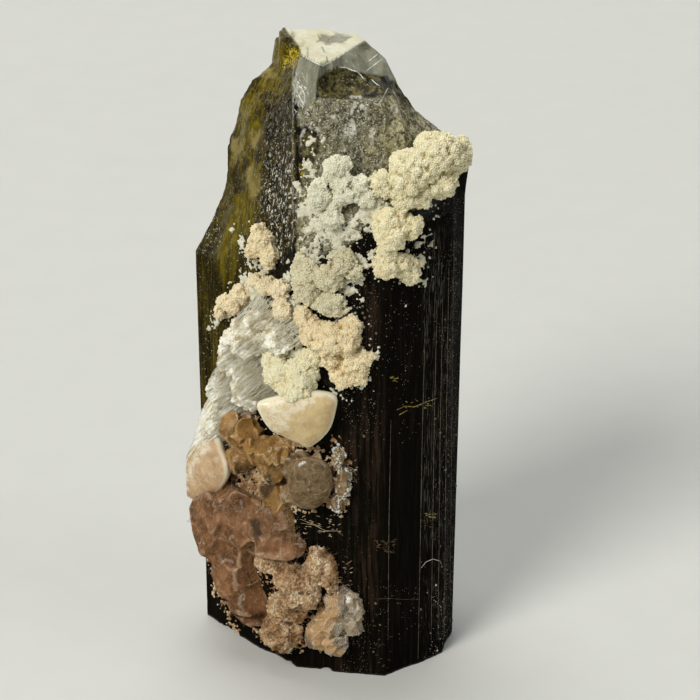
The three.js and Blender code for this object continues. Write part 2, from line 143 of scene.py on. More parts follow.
# Hairs, scratches, thin veins and painted reflections on the crystal, as lines and boxes of pixels
HAIR = [(421, 568), (426, 562), (433, 559), (440, 561), (442, 565)]
FACET_SCRATCHES = (293, 72, 310, 114)
THREADS = [
    ("gold_veins", [[(397, 410), (405, 406), (414, 407), (426, 402), (438, 398)], [(399, 415), (408, 410)]],
     0.022, [((389, 376, 396, 382), 12), ((404, 400, 434, 408), 14), ((424, 512, 434, 518), 12)],
     (0.42, 0.32, 0.08), (0.20, 0.14, 0.03)),
    ("brown_veins", [[(375, 599), (390, 598.5), (404, 599.5), (419, 599)]],
     0.014, [((374, 540, 394, 553), 60), ((420, 518, 434, 527), 14), ((372, 612, 390, 670), 24)],
     (0.13, 0.08, 0.03), (0.05, 0.03, 0.015)),
    # Grey lines down the right faces: painted reflections along their edges
    ("dim_edges", [
        [(425, 330), (422, 450), (420, 560), (418, 660)], [(437, 300), (434, 440), (431, 640)],
        [(443, 280), (440, 450), (438, 640)], [(449, 260), (446, 450), (444, 640)],
        [(391, 420), (389, 520), (388, 640)], [(454, 240), (452, 400), (450, 600)]],
     0.014, [], (0.20, 0.18, 0.13), (0.07, 0.06, 0.04)),
    ("tan_threads", [
        [(301, 523), (314, 525), (326, 531), (338, 531), (343, 536)], [(300, 519), (310, 523), (322, 527)],
        [(338, 470), (345, 466), (352, 468), (356, 474)], [(340, 478), (348, 474), (354, 478), (357, 483)],
        [(336, 462), (342, 458), (347, 462)], [(343, 486), (350, 482), (353, 488)]],
     0.014, [((336, 460, 356, 484), 20), ((302, 515, 342, 536), 40), ((326, 560, 350, 590), 40)],
     (0.62, 0.50, 0.32), (0.38, 0.26, 0.14)),
]
SLOPE_GILT = [(380, 96), (412, 104), (446, 132), (452, 152), (410, 160), (392, 130)]
HOLLOW_ZONE = [(312, 62), (324, 62), (352, 58), (372, 70), (394, 84), (392, 100), (350, 104), (316, 102)]
SLOPE_WHITE = [(355, 104, 7), (362, 107, 6), (350, 131, 7), (369, 136, 6), (333, 118, 5), (396, 112, 5)]
WHITE_ARC = [(301, 146), (300, 138), (304, 130), (311, 127), (318, 130), (320, 137)]
DARK_OVAL = [(297, 140), (303, 132), (312, 133), (319.5, 142), (319, 152), (311, 158), (301, 156)]
OVAL_GOLD = [(299, 163), (308, 165), (308, 178), (300, 180)]
# The olive flank, and its brighter, tan and gold parts: painted light passing through thin crystal
OLIVE_BODY = [
    (271, 20), (300, 20), (301, 54), (294, 72), (292, 100), (295, 130), (295, 235), (276, 262), (250, 300),
    (226, 330), (216, 372), (208, 420), (180, 440), (180, 100),
]
OLIVE_BRIGHT = [
    [(241, 98), (262, 90), (262, 128), (243, 150), (235, 150)],
    [(248, 160), (262, 160), (262, 205), (250, 215), (243, 195)],
    [(234, 198), (254, 196), (250, 222), (236, 246), (233, 286), (219, 290), (217, 250), (228, 222)],
    [(262, 64), (274, 66), (284, 78), (280, 92), (262, 90)],
]
TAN_WINDOWS = [
    [(230, 141), (241, 139), (242, 152), (233, 162)],
    [(250, 132), (261, 131), (259, 150), (250, 146)],
    [(244, 165), (260, 168), (259, 190), (250, 197), (244, 184)],
    [(262, 68), (271, 69), (272, 77), (263, 76)],
]
GOLD_BAND = [(269, 99.5), (280, 99), (279, 104.5), (270, 104)]
ROUGH_STRIP = [(266, 100), (292, 96), (294, 240), (280, 262), (262, 240), (262, 160)]
SPECK_STRIP = [(202, 222), (214, 214), (224, 236), (214, 254), (201, 250)]
DARK_BAND = [(190, 238), (213, 248), (216, 330), (208, 420), (190, 440)]
RIDGE_LINE = [(292.6, 60), (292, 120), (292.4, 180), (293, 238)]
# Down the rough strip, the heights between which its white dashes become many
DASHES_FROM = (135, 180)
BROWN_FRONT = [(335, 280), (377, 285), (382, 420), (375, 700), (330, 700), (340, 500)]
# The right faces: dust, with grey streaks of painted reflection
DUST_AND_REFLECTION_SIDE = [(424, 240), (470, 200), (470, 700), (424, 700)]

# Where granular crust lies on the crystal: how closely it covers, and the outline
PALE_CRUST = [
    (1.0, [(300, 206), (318, 190), (338, 182), (372, 186), (384, 206), (398, 214), (402, 240), (374, 244),
           (352, 246), (340, 262), (300, 262), (292, 238)]),
    (0.8, [(344, 206), (376, 206), (376, 276), (366, 268), (356, 252), (344, 246)]),
    (1.0, [(292, 250), (364, 250), (362, 300), (345, 318), (300, 318)]),
    (1.0, [(238, 225), (272, 226), (277, 262), (262, 300), (232, 318), (213, 326), (212, 312), (228, 288),
           (243, 268)]),
    (1.0, [(252, 288), (296, 268), (308, 330), (332, 344), (334, 392), (262, 404), (236, 436), (206, 446),
           (208, 410), (218, 372), (228, 326)]),
    (0.7, [(330, 330), (366, 318), (378, 350), (372, 385), (330, 396), (318, 366)]),
    (0.55, [(312, 126), (322, 128), (324, 150), (318, 186), (304, 206), (296, 236), (293, 180), (300, 160)]),
    (0.5, [(396, 196), (440, 196), (434, 240), (425, 290), (398, 290), (394, 240)]),
]
TAN_CRUST = [
    (1.0, [(212, 430), (262, 416), (312, 446), (330, 440), (350, 448), (352, 480), (344, 512), (300, 514),
           (262, 536), (236, 500), (214, 476)]),
    (0.6, [(200, 500), (298, 505), (312, 560), (330, 600), (356, 612), (350, 640), (330, 648),
           (300, 625), (262, 600), (232, 640), (214, 600), (206, 550)]),
    (0.5, [(210, 560), (300, 590), (340, 650), (300, 652), (226, 640)]),
]
BARE_GAPS = [
    [(301, 508), (340, 506), (347, 520), (344, 541), (324, 546), (306, 536)],
    [(352, 440), (420, 440), (420, 580), (345, 580), (352, 520)],
]
SILKY_RIDGE = [
    (231, 390), (240, 404), (230, 428), (219, 441), (207, 456), (194, 474), (184, 483), (182, 474),
    (188, 456), (196, 438), (201, 420), (207, 402), (218, 389),
]
SILKY_TOP = [(240, 270), (330, 270), (336, 400), (258, 405), (262, 350), (240, 345), (215, 345), (212, 300)]
LENS_VEIL = [(252, 396), (300, 386), (334, 388), (336, 398), (312, 404), (294, 416), (284, 434), (262, 430)]
FINGER_VEIL = [(178, 486), (184, 466), (200, 434), (218, 430), (212, 448), (198, 466), (190, 482), (188, 500)]
FROST = [(322, 440), (345, 444), (354, 468), (352, 512), (332, 521), (330, 500), (337, 480), (330, 460)]
FOOT_WARM = [(305, 570), (335, 586), (338, 612), (330, 634), (345, 656), (318, 650), (296, 620)]
TUFTS = [
    [(262, 500), (300, 500), (300, 538), (262, 538)], [(240, 490), (268, 488), (272, 512), (248, 514)],
    [(215, 492), (240, 490), (240, 506), (222, 510)],
]
# Hollows in the lower quartz, where near-black painted shade goes
CAVITIES = [
    [(227, 472), (240, 468), (255, 474), (252, 487), (232, 488)],
    [(254, 475), (270, 476), (277, 490), (264, 500)], [(249, 520), (262, 520), (264, 535), (252, 537)],
]
CRUMBS = [
    (0.5, SLOPE), (0.5, SPECK_STRIP),
    (0.45, [(296, 100), (294, 240), (262, 262), (226, 330), (214, 330), (236, 262), (262, 160)]),
    (0.4, [(300, 110), (320, 100), (318, 130), (298, 130)]),
    (0.8, [(300, 200), (405, 190), (428, 250), (372, 280), (300, 330)]),
    (0.5, [(428, 590), (448, 590), (446, 658), (428, 658)]),
    (0.15, [(196, 330), (230, 300), (226, 440), (196, 440)]),
]
DIM_CRUMBS = [
    (0.9, [(334, 270), (376, 270), (380, 420), (352, 470), (340, 400)]),
    (0.8, [(340, 440), (378, 420), (372, 680), (345, 680), (330, 600), (350, 520)]),
    (0.6, [(420, 180), (462, 200), (458, 660), (436, 660), (436, 300)]),
    (0.3, [(376, 270), (430, 280), (420, 640), (376, 640)]),
]


def seen_at(points):
    """Where points in millimetres show in the photograph's frame, as its x and its y."""
    from_eye = points - VIEW_FROM
    depth = from_eye @ VIEW_AHEAD
    across = FRAME_CENTRE + FOCAL_PIXELS * (from_eye @ VIEW_RIGHT) / depth
    down = FRAME_CENTRE - FOCAL_PIXELS * (from_eye @ VIEW_UP) / depth
    return np.stack([across, down], axis=1)


def sight_line(x, y):
    """The direction from the eye through a pixel of the photograph's frame."""
    line = VIEW_AHEAD * FOCAL_PIXELS + VIEW_RIGHT * (x - FRAME_CENTRE) - VIEW_UP * (y - FRAME_CENTRE)
    return line / np.linalg.norm(line)


def lattice(cells, seed):
    """A number from 0 to 1 for each whole-number cell, always the same for the same cell."""
    x, y, z = (cells[..., k].astype(np.int64) for k in range(3))
    mixed = (x * 374761393 + y * 668265263 + z * 1103515245 + seed * 974634777) & 0xFFFFFFFF
    mixed = ((mixed ^ (mixed >> 13)) * 1274126177) & 0xFFFFFFFF
    mixed = mixed ^ (mixed >> 16)
    return mixed / 4294967295.0


def noise(points, size, seed=0):
    """Smooth noise from -1 to 1 whose features are about `size` millimetres across."""
    scaled = points / np.asarray(size, float)
    cell = np.floor(scaled)
    part = scaled - cell
    part = part * part * (3 - 2 * part)
    total = np.zeros(len(points))
    for corner in itertools.product((0, 1), repeat=3):
        weight = np.prod(np.where(corner, part, 1 - part), axis=1)
        total += weight * lattice(cell + corner, seed)
    return 2 * total - 1


def rough(points, size, octaves, seed=0):
    """Noise added up over octaves, each half the size and half the height of the one before."""
    total = np.zeros(len(points))
    for k in range(octaves):
        total += noise(points, np.asarray(size, float) / 2 ** k, seed + k) / 2 ** k
    return total / (2 - 2 ** (1 - octaves))


def ramp(values, low, high):
    """0 below low, 1 above high, and a smooth rise between them."""
    t = np.clip((values - low) / (high - low), 0, 1)
    return t * t * (3 - 2 * t)


def line_distance(at, line):
    """Distance in pixels from each place to a line of points."""
    best = np.full(len(at), 1e9)
    for a, b in zip(line[:-1], line[1:]):
        a, b = np.array(a, float), np.array(b, float)
        along = b - a
        t = np.clip(((at - a) @ along) / (along @ along), 0, 1)
        best = np.minimum(best, np.linalg.norm(at - a - t[:, None] * along, axis=1))
    return best


def within(at, outline, soft=1.0, wander=0.0):
    """1 inside an outline and 0 outside it, over a soft edge that may wander in and out."""
    closed = list(outline) + [outline[0]]
    inside = np.zeros(len(at), bool)
    for (ax, ay), (bx, by) in zip(closed[:-1], closed[1:]):
        spans = (ay > at[:, 1]) != (by > at[:, 1])
        crossing = ax + (at[:, 1] - ay) * (bx - ax) / ((by - ay) or 1e-9)
        inside ^= spans & (at[:, 0] < crossing)
    reach = np.where(inside, 1, -1) * line_distance(at, closed) + wander
    return ramp(reach, -soft, soft)


def along_line(at, line, half_width):
    """1 on a line of points, falling to 0 at half_width."""
    return 1 - ramp(line_distance(at, line) / np.maximum(half_width, 0.3), 0.25, 1)


def corner_normals(points, triangles):
    """A unit normal at each point of a mesh."""
    a, b, c = (points[triangles[:, k]] for k in range(3))
    faces = np.cross(b - a, c - a)
    total = np.zeros_like(points)
    for k in range(3):
        for axis in range(3):
            total[:, axis] += np.bincount(triangles[:, k], faces[:, axis], len(points))
    return total / np.maximum(np.linalg.norm(total, axis=1, keepdims=True), 1e-12)


def neighbour_mean(values, triangles, count):
    """For each point of a mesh, the mean of its neighbours' values."""
    pairs = np.concatenate([triangles[:, [0, 1]], triangles[:, [1, 2]], triangles[:, [2, 0]]])
    pairs = np.concatenate([pairs, pairs[:, ::-1]])
    share = np.maximum(np.bincount(pairs[:, 0], minlength=count), 1)
    mean = [np.bincount(pairs[:, 0], column[pairs[:, 1]], count) / share for column in values.T]
    return np.stack(mean, axis=1)


def relaxed(points, triangles, rounds, share=0.5):
    """Points moved towards their neighbours, which rounds a mesh off."""
    for _ in range(rounds):
        points = points + share * (neighbour_mean(points, triangles, len(points)) - points)
    return points


def creases(points, triangles, rounds):
    """How deep each point lies between its neighbours: above 0 in a crease, below 0 on a crest."""
    smooth = relaxed(points, triangles, rounds, 0.7)
    depth = ((smooth - points) * corner_normals(points, triangles)).sum(axis=1)
    return np.clip(depth / (np.abs(depth).mean() * 4 + 1e-9), -1, 1)


def as_arrays(mesh):
    """A mesh's points and triangles."""
    points = np.zeros(len(mesh.vertices) * 3)
    mesh.vertices.foreach_get("co", points)
    mesh.calc_loop_triangles()
    triangles = np.zeros(len(mesh.loop_triangles) * 3, np.int32)
    mesh.loop_triangles.foreach_get("vertices", triangles)
    return points.reshape(-1, 3), triangles.reshape(-1, 3)


def as_mesh(name, points, faces):
    """A mesh from points and faces that all have the same number of corners."""
    mesh = bpy.data.meshes.new(name)
    faces = np.asarray(faces)
    corners = faces.shape[1]
    mesh.vertices.add(len(points))
    mesh.vertices.foreach_set("co", np.asarray(points, float).ravel())
    mesh.loops.add(faces.size)
    mesh.loops.foreach_set("vertex_index", faces.ravel().astype(np.int32))
    mesh.polygons.add(len(faces))
    mesh.polygons.foreach_set("loop_start", np.arange(len(faces), dtype=np.int32) * corners)
    mesh.update(calc_edges=True)
    return mesh


def joined(parts):
    """Several pairs of points and triangles as one pair."""
    offsets = np.cumsum([0] + [len(points) for points, _ in parts[:-1]])
    points = np.concatenate([points for points, _ in parts])
    triangles = np.concatenate([faces + offset for (_, faces), offset in zip(parts, offsets)])
    return points, triangles


def node_form(node):
    """A CAD node's points in millimetres and its triangles, with its doubled points merged."""
    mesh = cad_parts[node].data.copy()
    build = bmesh.new()
    build.from_mesh(mesh)
    bmesh.ops.remove_doubles(build, verts=build.verts, dist=1e-6)
    build.to_mesh(mesh)
    build.free()
    points, triangles = as_arrays(mesh)
    bpy.data.meshes.remove(mesh)
    return points / MM, triangles


def surface_tree(form):
    """A form as a tree that rays can be cast at."""
    points, triangles = form
    return BVHTree.FromPolygons(points.tolist(), triangles.tolist(), epsilon=0)


def stored_marks(mesh, marks):
    """Stores marks on a mesh, one number for each point."""
    for mark, values in (marks or {}).items():
        mesh.attributes.new(mark, "FLOAT", "POINT").data.foreach_set("value", values.astype(np.float32))


def evaluated_form(form, add_modifier, marks=None, keep=()):
    """The form that a modifier makes of a form, in millimetres, and the marks that are kept on it."""
    mesh = as_mesh("work", *form)
    stored_marks(mesh, marks)
    work = bpy.data.objects.new("work", mesh)
    bpy.context.scene.collection.objects.link(work)
    add_modifier(work)
    shape = bpy.data.meshes.new_from_object(work.evaluated_get(bpy.context.evaluated_depsgraph_get()))
    result = as_arrays(shape)
    kept = {mark: np.zeros(len(shape.vertices), np.float32) for mark in keep}
    for mark, values in kept.items():
        if len(values):
            shape.attributes[mark].data.foreach_get("value", values)
    bpy.data.objects.remove(work)
    bpy.data.meshes.remove(mesh)
    bpy.data.meshes.remove(shape)
    return (result, kept) if keep else result


def fused(form, cell):
    """Overlapping closed forms as one skin, with faces about `cell` millimetres across."""
    def remesh(work):
        modifier = work.modifiers.new("fuse", "REMESH")
        modifier.mode = "VOXEL"
        modifier.voxel_size = cell
    return evaluated_form(form, remesh)


def finished(name, form, material, nodes=(), marks=None, sharp=None):
    """A finished piece in metres, kept inside the CAD model's box, that rides on the crystal's body."""
    points, faces = form
    low, high = (np.array(corner) for corner in CAD_BOX)
    mesh = as_mesh(name, np.clip(points * MM, low, high), faces)
    stored_marks(mesh, marks)
    mesh.polygons.foreach_set("use_smooth", np.ones(len(mesh.polygons), bool))
    if sharp is not None:
        mesh.set_sharp_from_angle(angle=math.radians(sharp))
    mesh.materials.append(material)
    piece = bpy.data.objects.new(name, mesh)
    bpy.context.scene.collection.objects.link(piece)
    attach(piece, BODY)
    if nodes:
        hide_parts(*nodes)


class Socket:
    """A node's output on which sums are written as plain Python expressions."""

    def __init__(self, tree, output):
        self.tree = tree
        self.output = output

    def math(self, operation, *others, clamp=False):
        node = self.tree.nodes.new("ShaderNodeMath")
        node.operation = operation
        node.use_clamp = clamp
        for slot, value in zip(node.inputs, (self, *others)):
            plug(self.tree, value, slot)
        return Socket(self.tree, node.outputs[0])

    def __add__(self, other):
        return self.math("ADD", other)

    __radd__ = __add__

    def __sub__(self, other):
        return self.math("SUBTRACT", other)

    def __rsub__(self, other):
        return self.math("MULTIPLY_ADD", -1.0, other)

    def __mul__(self, other):
        return self.math("MULTIPLY", other)

    __rmul__ = __mul__

    def largest(self, other):
        return self.math("MAXIMUM", other)

    def held(self):
        """The value, held between 0 and 1."""
        return self.math("ADD", 0.0, clamp=True)


def plug(tree, value, slot):
    """Sets a socket to a plain value, or links it to another node's output. A colour gets full alpha."""
    if isinstance(value, Socket):
        tree.links.new(value.output, slot)
    else:
        slot.default_value = (*value, 1.0) if slot.type == "RGBA" else value


class Nodes:
    """A node tree that is built by short calls."""

    def __init__(self, tree):
        self.tree = tree

    def node(self, kind, settings=None, values=None, output=0):
        """Adds a node: its settings first, then its sockets by name, identifier or number."""
        node = self.tree.nodes.new(kind)
        for key, value in (settings or {}).items():
            if key == "stops":
                self.set_stops(node.color_ramp, value)
            else:
                setattr(node, key, value)
        by_identifier = {slot.identifier: slot for slot in node.inputs}
        for key, value in (values or {}).items():
            slot = by_identifier.get(key) or node.inputs[key]
            plug(self.tree, value, slot)
        self.latest = node
        if not node.outputs:
            return node
        by_identifier = {slot.identifier: slot for slot in node.outputs}
        return Socket(self.tree, by_identifier.get(output) or node.outputs[output])

    @staticmethod
    def set_stops(colour_ramp, stops):
        while len(colour_ramp.elements) < len(stops):
            colour_ramp.elements.new(1.0)
        for element, (place, tone) in zip(colour_ramp.elements, stops):
            element.position = place
            element.color = (*tone, 1.0)

    def other_output(self, name):
        return Socket(self.tree, self.latest.outputs[name])

    def vector(self, operation, first, second):
        """A sum on vectors; SCALE takes a number second."""
        other = "Scale" if operation == "SCALE" else 1
        return self.node("ShaderNodeVectorMath", {"operation": operation}, {0: first, other: second})


class Finish(Nodes):
    """A material being built: colours are mixed and sums written in short calls."""

    def __init__(self, name):
        self.material = bpy.data.materials.new(name)
        self.material.use_nodes = True
        super().__init__(self.material.node_tree)
        self.tree.nodes.clear()
        self.place = self.vector("SCALE", self.node("ShaderNodeTexCoord", output="Object"), 1 / MM)

    def grain(self, size, detail, roughness, stretch=None, distortion=0.0):
        """Noise around 0.5 whose features are about `size` millimetres across, before the stretch."""
        place = self.vector("MULTIPLY", self.place, stretch) if stretch else self.place
        values = {"Vector": place, "Scale": 1 / size, "Detail": detail, "Roughness": roughness}
        return self.node("ShaderNodeTexNoise", None, {**values, "Distortion": distortion})

    def mark(self, name):
        """A mark that is stored on the mesh, from 0 to 1."""
        return self.node("ShaderNodeAttribute", {"attribute_name": name}, output="Fac")

    def between(self, value, low, high):
        """0 below low, 1 above high."""
        values = {"Value": value, "From Min": low, "From Max": high}
        return self.node("ShaderNodeMapRange", {"interpolation_type": "SMOOTHSTEP"}, values)

    def mix(self, share, first, second):
        """Two colours mixed by a share."""
        values = {"Factor_Float": share, "A_Color": first, "B_Color": second}
        return self.node("ShaderNodeMix", {"data_type": "RGBA"}, values, output="Result_Color")

    def blend(self, share, first, second):
        """Two numbers mixed by a share."""
        return self.node("ShaderNodeMix", None, {"Factor_Float": share, "A_Float": first, "B_Float": second})

    def bump(self, height, distance, strength):
        """A normal from a height, with `distance` millimetres between heights 0 and 1."""
        values = {"Height": height, "Distance": distance * MM, "Strength": strength}
        return self.node("ShaderNodeBump", None, values)

    def surface(self, **sockets):
        """Ends the material with one principled shader, whose sockets are named by words."""
        names = {key.replace("_", " ").title().replace("Ior", "IOR"): value for key, value in sockets.items()}
        shader = self.node("ShaderNodeBsdfPrincipled", None, names)
        self.node("ShaderNodeOutputMaterial", None, {"Surface": shader})
        return self.material


class Grower(Nodes):
    """A geometry node tree with named inputs."""

    def __init__(self, name, inputs):
        tree = bpy.data.node_groups.new(name, "GeometryNodeTree")
        super().__init__(tree)
        tree.interface.new_socket("Geometry", in_out="INPUT", socket_type="NodeSocketGeometry")
        for label, kind in inputs.items():
            tree.interface.new_socket(label, in_out="INPUT", socket_type=f"NodeSocket{kind}")
        tree.interface.new_socket("Geometry", in_out="OUTPUT", socket_type="NodeSocketGeometry")
        self.entry = tree.nodes.new("NodeGroupInput")

    def input(self, label):
        return Socket(self.tree, self.entry.outputs[label])

    def random(self, low, high, seed, vector=False):
        """A random number for each point, or a random vector whose parts lie between two numbers."""
        if vector:
            values = {"Min": (low,) * 3, "Max": (high,) * 3, "Seed": seed}
            return self.node("FunctionNodeRandomValue", {"data_type": "FLOAT_VECTOR"}, values)
        values = {"Min_001": low, "Max_001": high, "Seed": seed}
        return self.node("FunctionNodeRandomValue", {"data_type": "FLOAT"}, values, output="Value_001")

    def scattered(self):
        """Points over the surface, no closer than Spacing, where the mark called density lets them."""
        density = self.node("GeometryNodeInputNamedAttribute", {"data_type": "FLOAT"}, {"Name": "density"})
        return self.node("GeometryNodeDistributePointsOnFaces", {"distribute_method": "POISSON"}, {
            "Mesh": self.input("Geometry"), "Distance Min": self.input("Spacing"),
            "Density Max": self.input("Crowding"), "Density Factor": density, "Seed": self.input("Seed")})

    def instances(self, points, instance, turn, scale):
        return self.node("GeometryNodeInstanceOnPoints", None, {
            "Points": points, "Instance": instance, "Rotation": turn, "Scale": scale})

    def finish(self, geometry):
        """Ends the tree: instances made real, material set."""
        real = self.node("GeometryNodeRealizeInstances", None, {"Geometry": geometry})
        values = {"Geometry": real, "Material": self.input("Material")}
        done = self.node("GeometryNodeSetMaterial", None, values)
        self.node("NodeGroupOutput", None, {"Geometry": done})
        return self.tree


def grain_tree():
    """Small rough grains scattered over a surface."""
    tree = Grower("scattered_grains", {
        "Spacing": "Float", "Crowding": "Float", "Smallest": "Float", "Largest": "Float", "Seed": "Int",
        "Facets": "Int", "Material": "Material",
    })
    points = tree.scattered()
    ball = tree.node("GeometryNodeMeshIcoSphere", None, {"Radius": 1.0, "Subdivisions": tree.input("Facets")})
    turn = tree.random(0, math.tau, 3, vector=True)
    size = tree.random(tree.input("Smallest"), tree.input("Largest"), 5)
    shape = tree.random(0.7, 1.25, 7, vector=True)
    return tree.finish(tree.instances(points, ball, turn, tree.vector("SCALE", shape, size)))


def fibre_tree():
    """Thin tapered fibres over a surface, lying along one direction and spread a little about it."""
    tree = Grower("laid_fibres", {
        "Spacing": "Float", "Crowding": "Float", "Length": "Float", "Thickness": "Float",
        "Direction": "Vector", "Spread": "Float", "Wave": "Float", "Seed": "Int", "Material": "Material",
    })
    points = tree.scattered()
    lift = tree.vector("SCALE", tree.other_output("Normal"), FIBRE_LIFT)
    fibre = tree.node("GeometryNodeMeshCone", {"fill_type": "TRIANGLE_FAN"}, {
        "Vertices": 3, "Side Segments": 5, "Radius Top": 0.25, "Radius Bottom": 1.0, "Depth": 1.0})
    stray = tree.vector("SCALE", tree.random(-1, 1, 11, vector=True), tree.input("Spread"))
    way = tree.vector("ADD", tree.vector("ADD", tree.input("Direction"), stray), lift)
    turn = tree.node("FunctionNodeAlignRotationToVector", {"axis": "Z"}, {"Vector": way})
    length = tree.random(0.5, 1.2, 13) * tree.input("Length")
    thick = tree.random(0.6, 1.3, 17) * tree.input("Thickness")
    scale = tree.node("ShaderNodeCombineXYZ", None, {"X": thick, "Y": thick, "Z": length})
    fibres = tree.instances(points, fibre, turn, scale)
    real = tree.node("GeometryNodeRealizeInstances", None, {"Geometry": fibres})
    values = {"Vector": tree.node("GeometryNodeInputPosition"), "Scale": 1.6, "Detail": 2.0}
    wave = tree.node("ShaderNodeTexNoise", None, values, output="Color")
    shift = tree.vector("SCALE", tree.vector("SUBTRACT", wave, (0.5, 0.5, 0.5)), tree.input("Wave"))
    return tree.finish(tree.node("GeometryNodeSetPosition", None, {"Geometry": real, "Offset": shift}))


# How far a fibre leans away from the surface, as a part of its direction
FIBRE_LIFT = 0.12


def grown(form, tree, inputs, density=None, material=None, marks=None, keep=()):
    """What a geometry node tree grows on a form, where density, from 0 to 1 at each point, lets it."""
    def add_tree(work):
        modifier = work.modifiers.new("grow", "NODES")
        modifier.node_group = tree
        values = {**inputs, "Crowding": POINTS_TRIED / inputs["Spacing"] ** 2, "Material": material}
        for item in tree.interface.items_tree:
            if item.in_out == "INPUT" and item.name in values:
                modifier[item.identifier] = values[item.name]
    if density is None:
        density = np.ones(len(form[0]))
    return evaluated_form(form, add_tree, {"density": density, **(marks or {})}, keep)


def grains(form, spacing, smallest, largest, seed, facets=1, density=None, marks=None):
    """Grains grown on a form, with the marks that they take on from it."""
    tree = bpy.data.node_groups.get("scattered_grains") or grain_tree()
    inputs = {"Spacing": spacing, "Smallest": smallest, "Largest": largest, "Seed": seed, "Facets": facets}
    return grown(form, tree, inputs, density, marks=marks, keep=tuple(marks or ()))


def sugar_coated(form, marks, spacing, smallest, largest, seed, density=None):
    """A marked skin with small sharp-edged grains on it, which take on the skin's marks."""
    sugar, kept = grains(form, spacing, smallest, largest, seed, 1, density, marks)
    both = {mark: np.concatenate([values, kept[mark]]) for mark, values in marks.items()}
    both["sugar"] = np.concatenate([np.zeros(len(form[0])), np.ones(len(sugar[0]))])
    return joined([form, sugar]), both


def streaked(points, direction, sizes, seed):
    """Noise drawn out along a direction: its sizes along it and across it, in millimetres."""
    along = np.array(direction) / np.linalg.norm(direction)
    across = np.cross(along, (0.31, 0.95, 0.1))
    across /= np.linalg.norm(across)
    frame_axes = np.stack([along, across, np.cross(along, across)])
    return noise(points @ frame_axes.T, sizes, seed)


def marked_part(form, mark):
    """The part of a form that is marked at all, and the mark there."""
    points, triangles = form
    triangles = triangles[mark[triangles].max(axis=1) > LEAST_MARK]
    used, inverse = np.unique(triangles, return_inverse=True)
    return (points[used], inverse.reshape(-1, 3)), mark[used]


def moved_in(form, distance):
    """A form moved level towards the crystal's middle line."""
    points, triangles = form
    middle = points.mean(axis=0)
    towards = CRYSTAL_MIDDLE[:2] - middle[:2]
    towards = towards / np.linalg.norm(towards)
    return points + distance * np.append(towards, 0.0), triangles


# Places tried for each square of the spacing, from which those too close together are dropped
POINTS_TRIED = 6.0

# A mark below this counts as none
LEAST_MARK = 0.02

# The crystal's middle line and the point that its broken top is measured from, in millimetres
CRYSTAL_MIDDLE = np.array([0.13, 0.45, 26.0])


class CrystalSettings(PropertyGroup):
    columns: IntProperty(name="Columns", description="Points round the crystal", default=540, min=60)
    prism_rows: IntProperty(name="Prism rows", description="Rows up the whole prism", default=36, min=8)
    break_rows: IntProperty(name="Break rows", description="Rows where the break begins", default=36, min=8)
    top_rows: IntProperty(name="Top rows", description="Rows over the broken top", default=98, min=8)
    groove_depth: FloatProperty(
        name="Groove depth", description="Depth of the widest lengthwise grooves, in millimetres",
        default=0.055, min=0)
    slope_relief: FloatProperty(
        name="Slope relief", description="Height of the lumps on the broken slope, in millimetres",
        default=0.11, min=0)
    black: FloatVectorProperty(
        name="Black", description="The thick crystal's colour", subtype="COLOR",
        default=(0.004, 0.0033, 0.002))
    # olive: painted light passing through thin crystal, set as a colour
    olive: FloatVectorProperty(
        name="Olive", description="Thin crystal that lets light through", subtype="COLOR",
        default=(0.030, 0.022, 0.003))


class FeldsparSettings(PropertyGroup):
    cell: FloatProperty(
        name="Mesh cell", description="Width of the finished skin's faces, in millimetres",
        default=0.05, min=0.02)
    sugar_spacing: FloatProperty(
        name="Sugar spacing", description="Distance between the small sharp grains, in millimetres",
        default=0.10, min=0.03)


class FibreSettings(PropertyGroup):
    spacing: FloatProperty(
        name="Spacing", description="Distance between fibres, in millimetres", default=0.11, min=0.02)
    length: FloatProperty(
        name="Length", description="Length of a fibre, in millimetres", default=1.7, min=0.1)
    thickness: FloatProperty(
        name="Thickness", description="Half width of a fibre, in millimetres", default=0.021, min=0.005)
    white: FloatVectorProperty(
        name="White", description="The fibres' colour", subtype="COLOR", default=(1.0, 0.98, 0.86))


class StageSettings(PropertyGroup):
    floor: FloatVectorProperty(
        name="Floor", description="The floor's colour", subtype="COLOR", default=(0.65, 0.655, 0.615))
    key_power: FloatProperty(name="Key light", description="Power of the large light", default=8.0, min=0)
    fill_power: FloatProperty(name="Fill light", description="Power of the side light", default=1.0, min=0)
    top_power: FloatProperty(name="Top light", description="Power of the light above", default=3.0, min=0)
    room: FloatProperty(name="Room light", description="Brightness of the room around", default=0.1, min=0)


# Rounds of smoothing in the hollow of the broken top, where few rays land
HOLLOW_ROUNDS = 25

# The underside's rings, as parts of the crystal's width
UNDER_RINGS = (0.96, 0.8, 0.5, 0.2)


def column_angles(count):
    """Angles round the crystal, closest together on the side that faces the viewer."""
    fine = np.linspace(0, math.tau, 4096, endpoint=False)
    weight = 1.0 + 0.55 * np.cos(fine + math.pi / 2)
    share = np.cumsum(weight) / weight.sum()
    return np.interp((np.arange(count) + 0.5) / count, share, fine)


def crystal_rows(settings):
    """The start and the rise of each row of rays, from the underside to the top."""
    foot = [0.0, 0.08, 0.2, 0.35, 0.55, 0.8]
    prism = np.linspace(1.1, 21.0, settings.prism_rows, endpoint=False)
    lower_break = np.linspace(21.0, CRYSTAL_MIDDLE[2], settings.break_rows, endpoint=False)
    rows = [(z, 0.0) for z in (*foot, *prism, *lower_break)]
    top = np.linspace(0, math.pi / 2, settings.top_rows, endpoint=False)
    return rows + [(CRYSTAL_MIDDLE[2], rise) for rise in top]


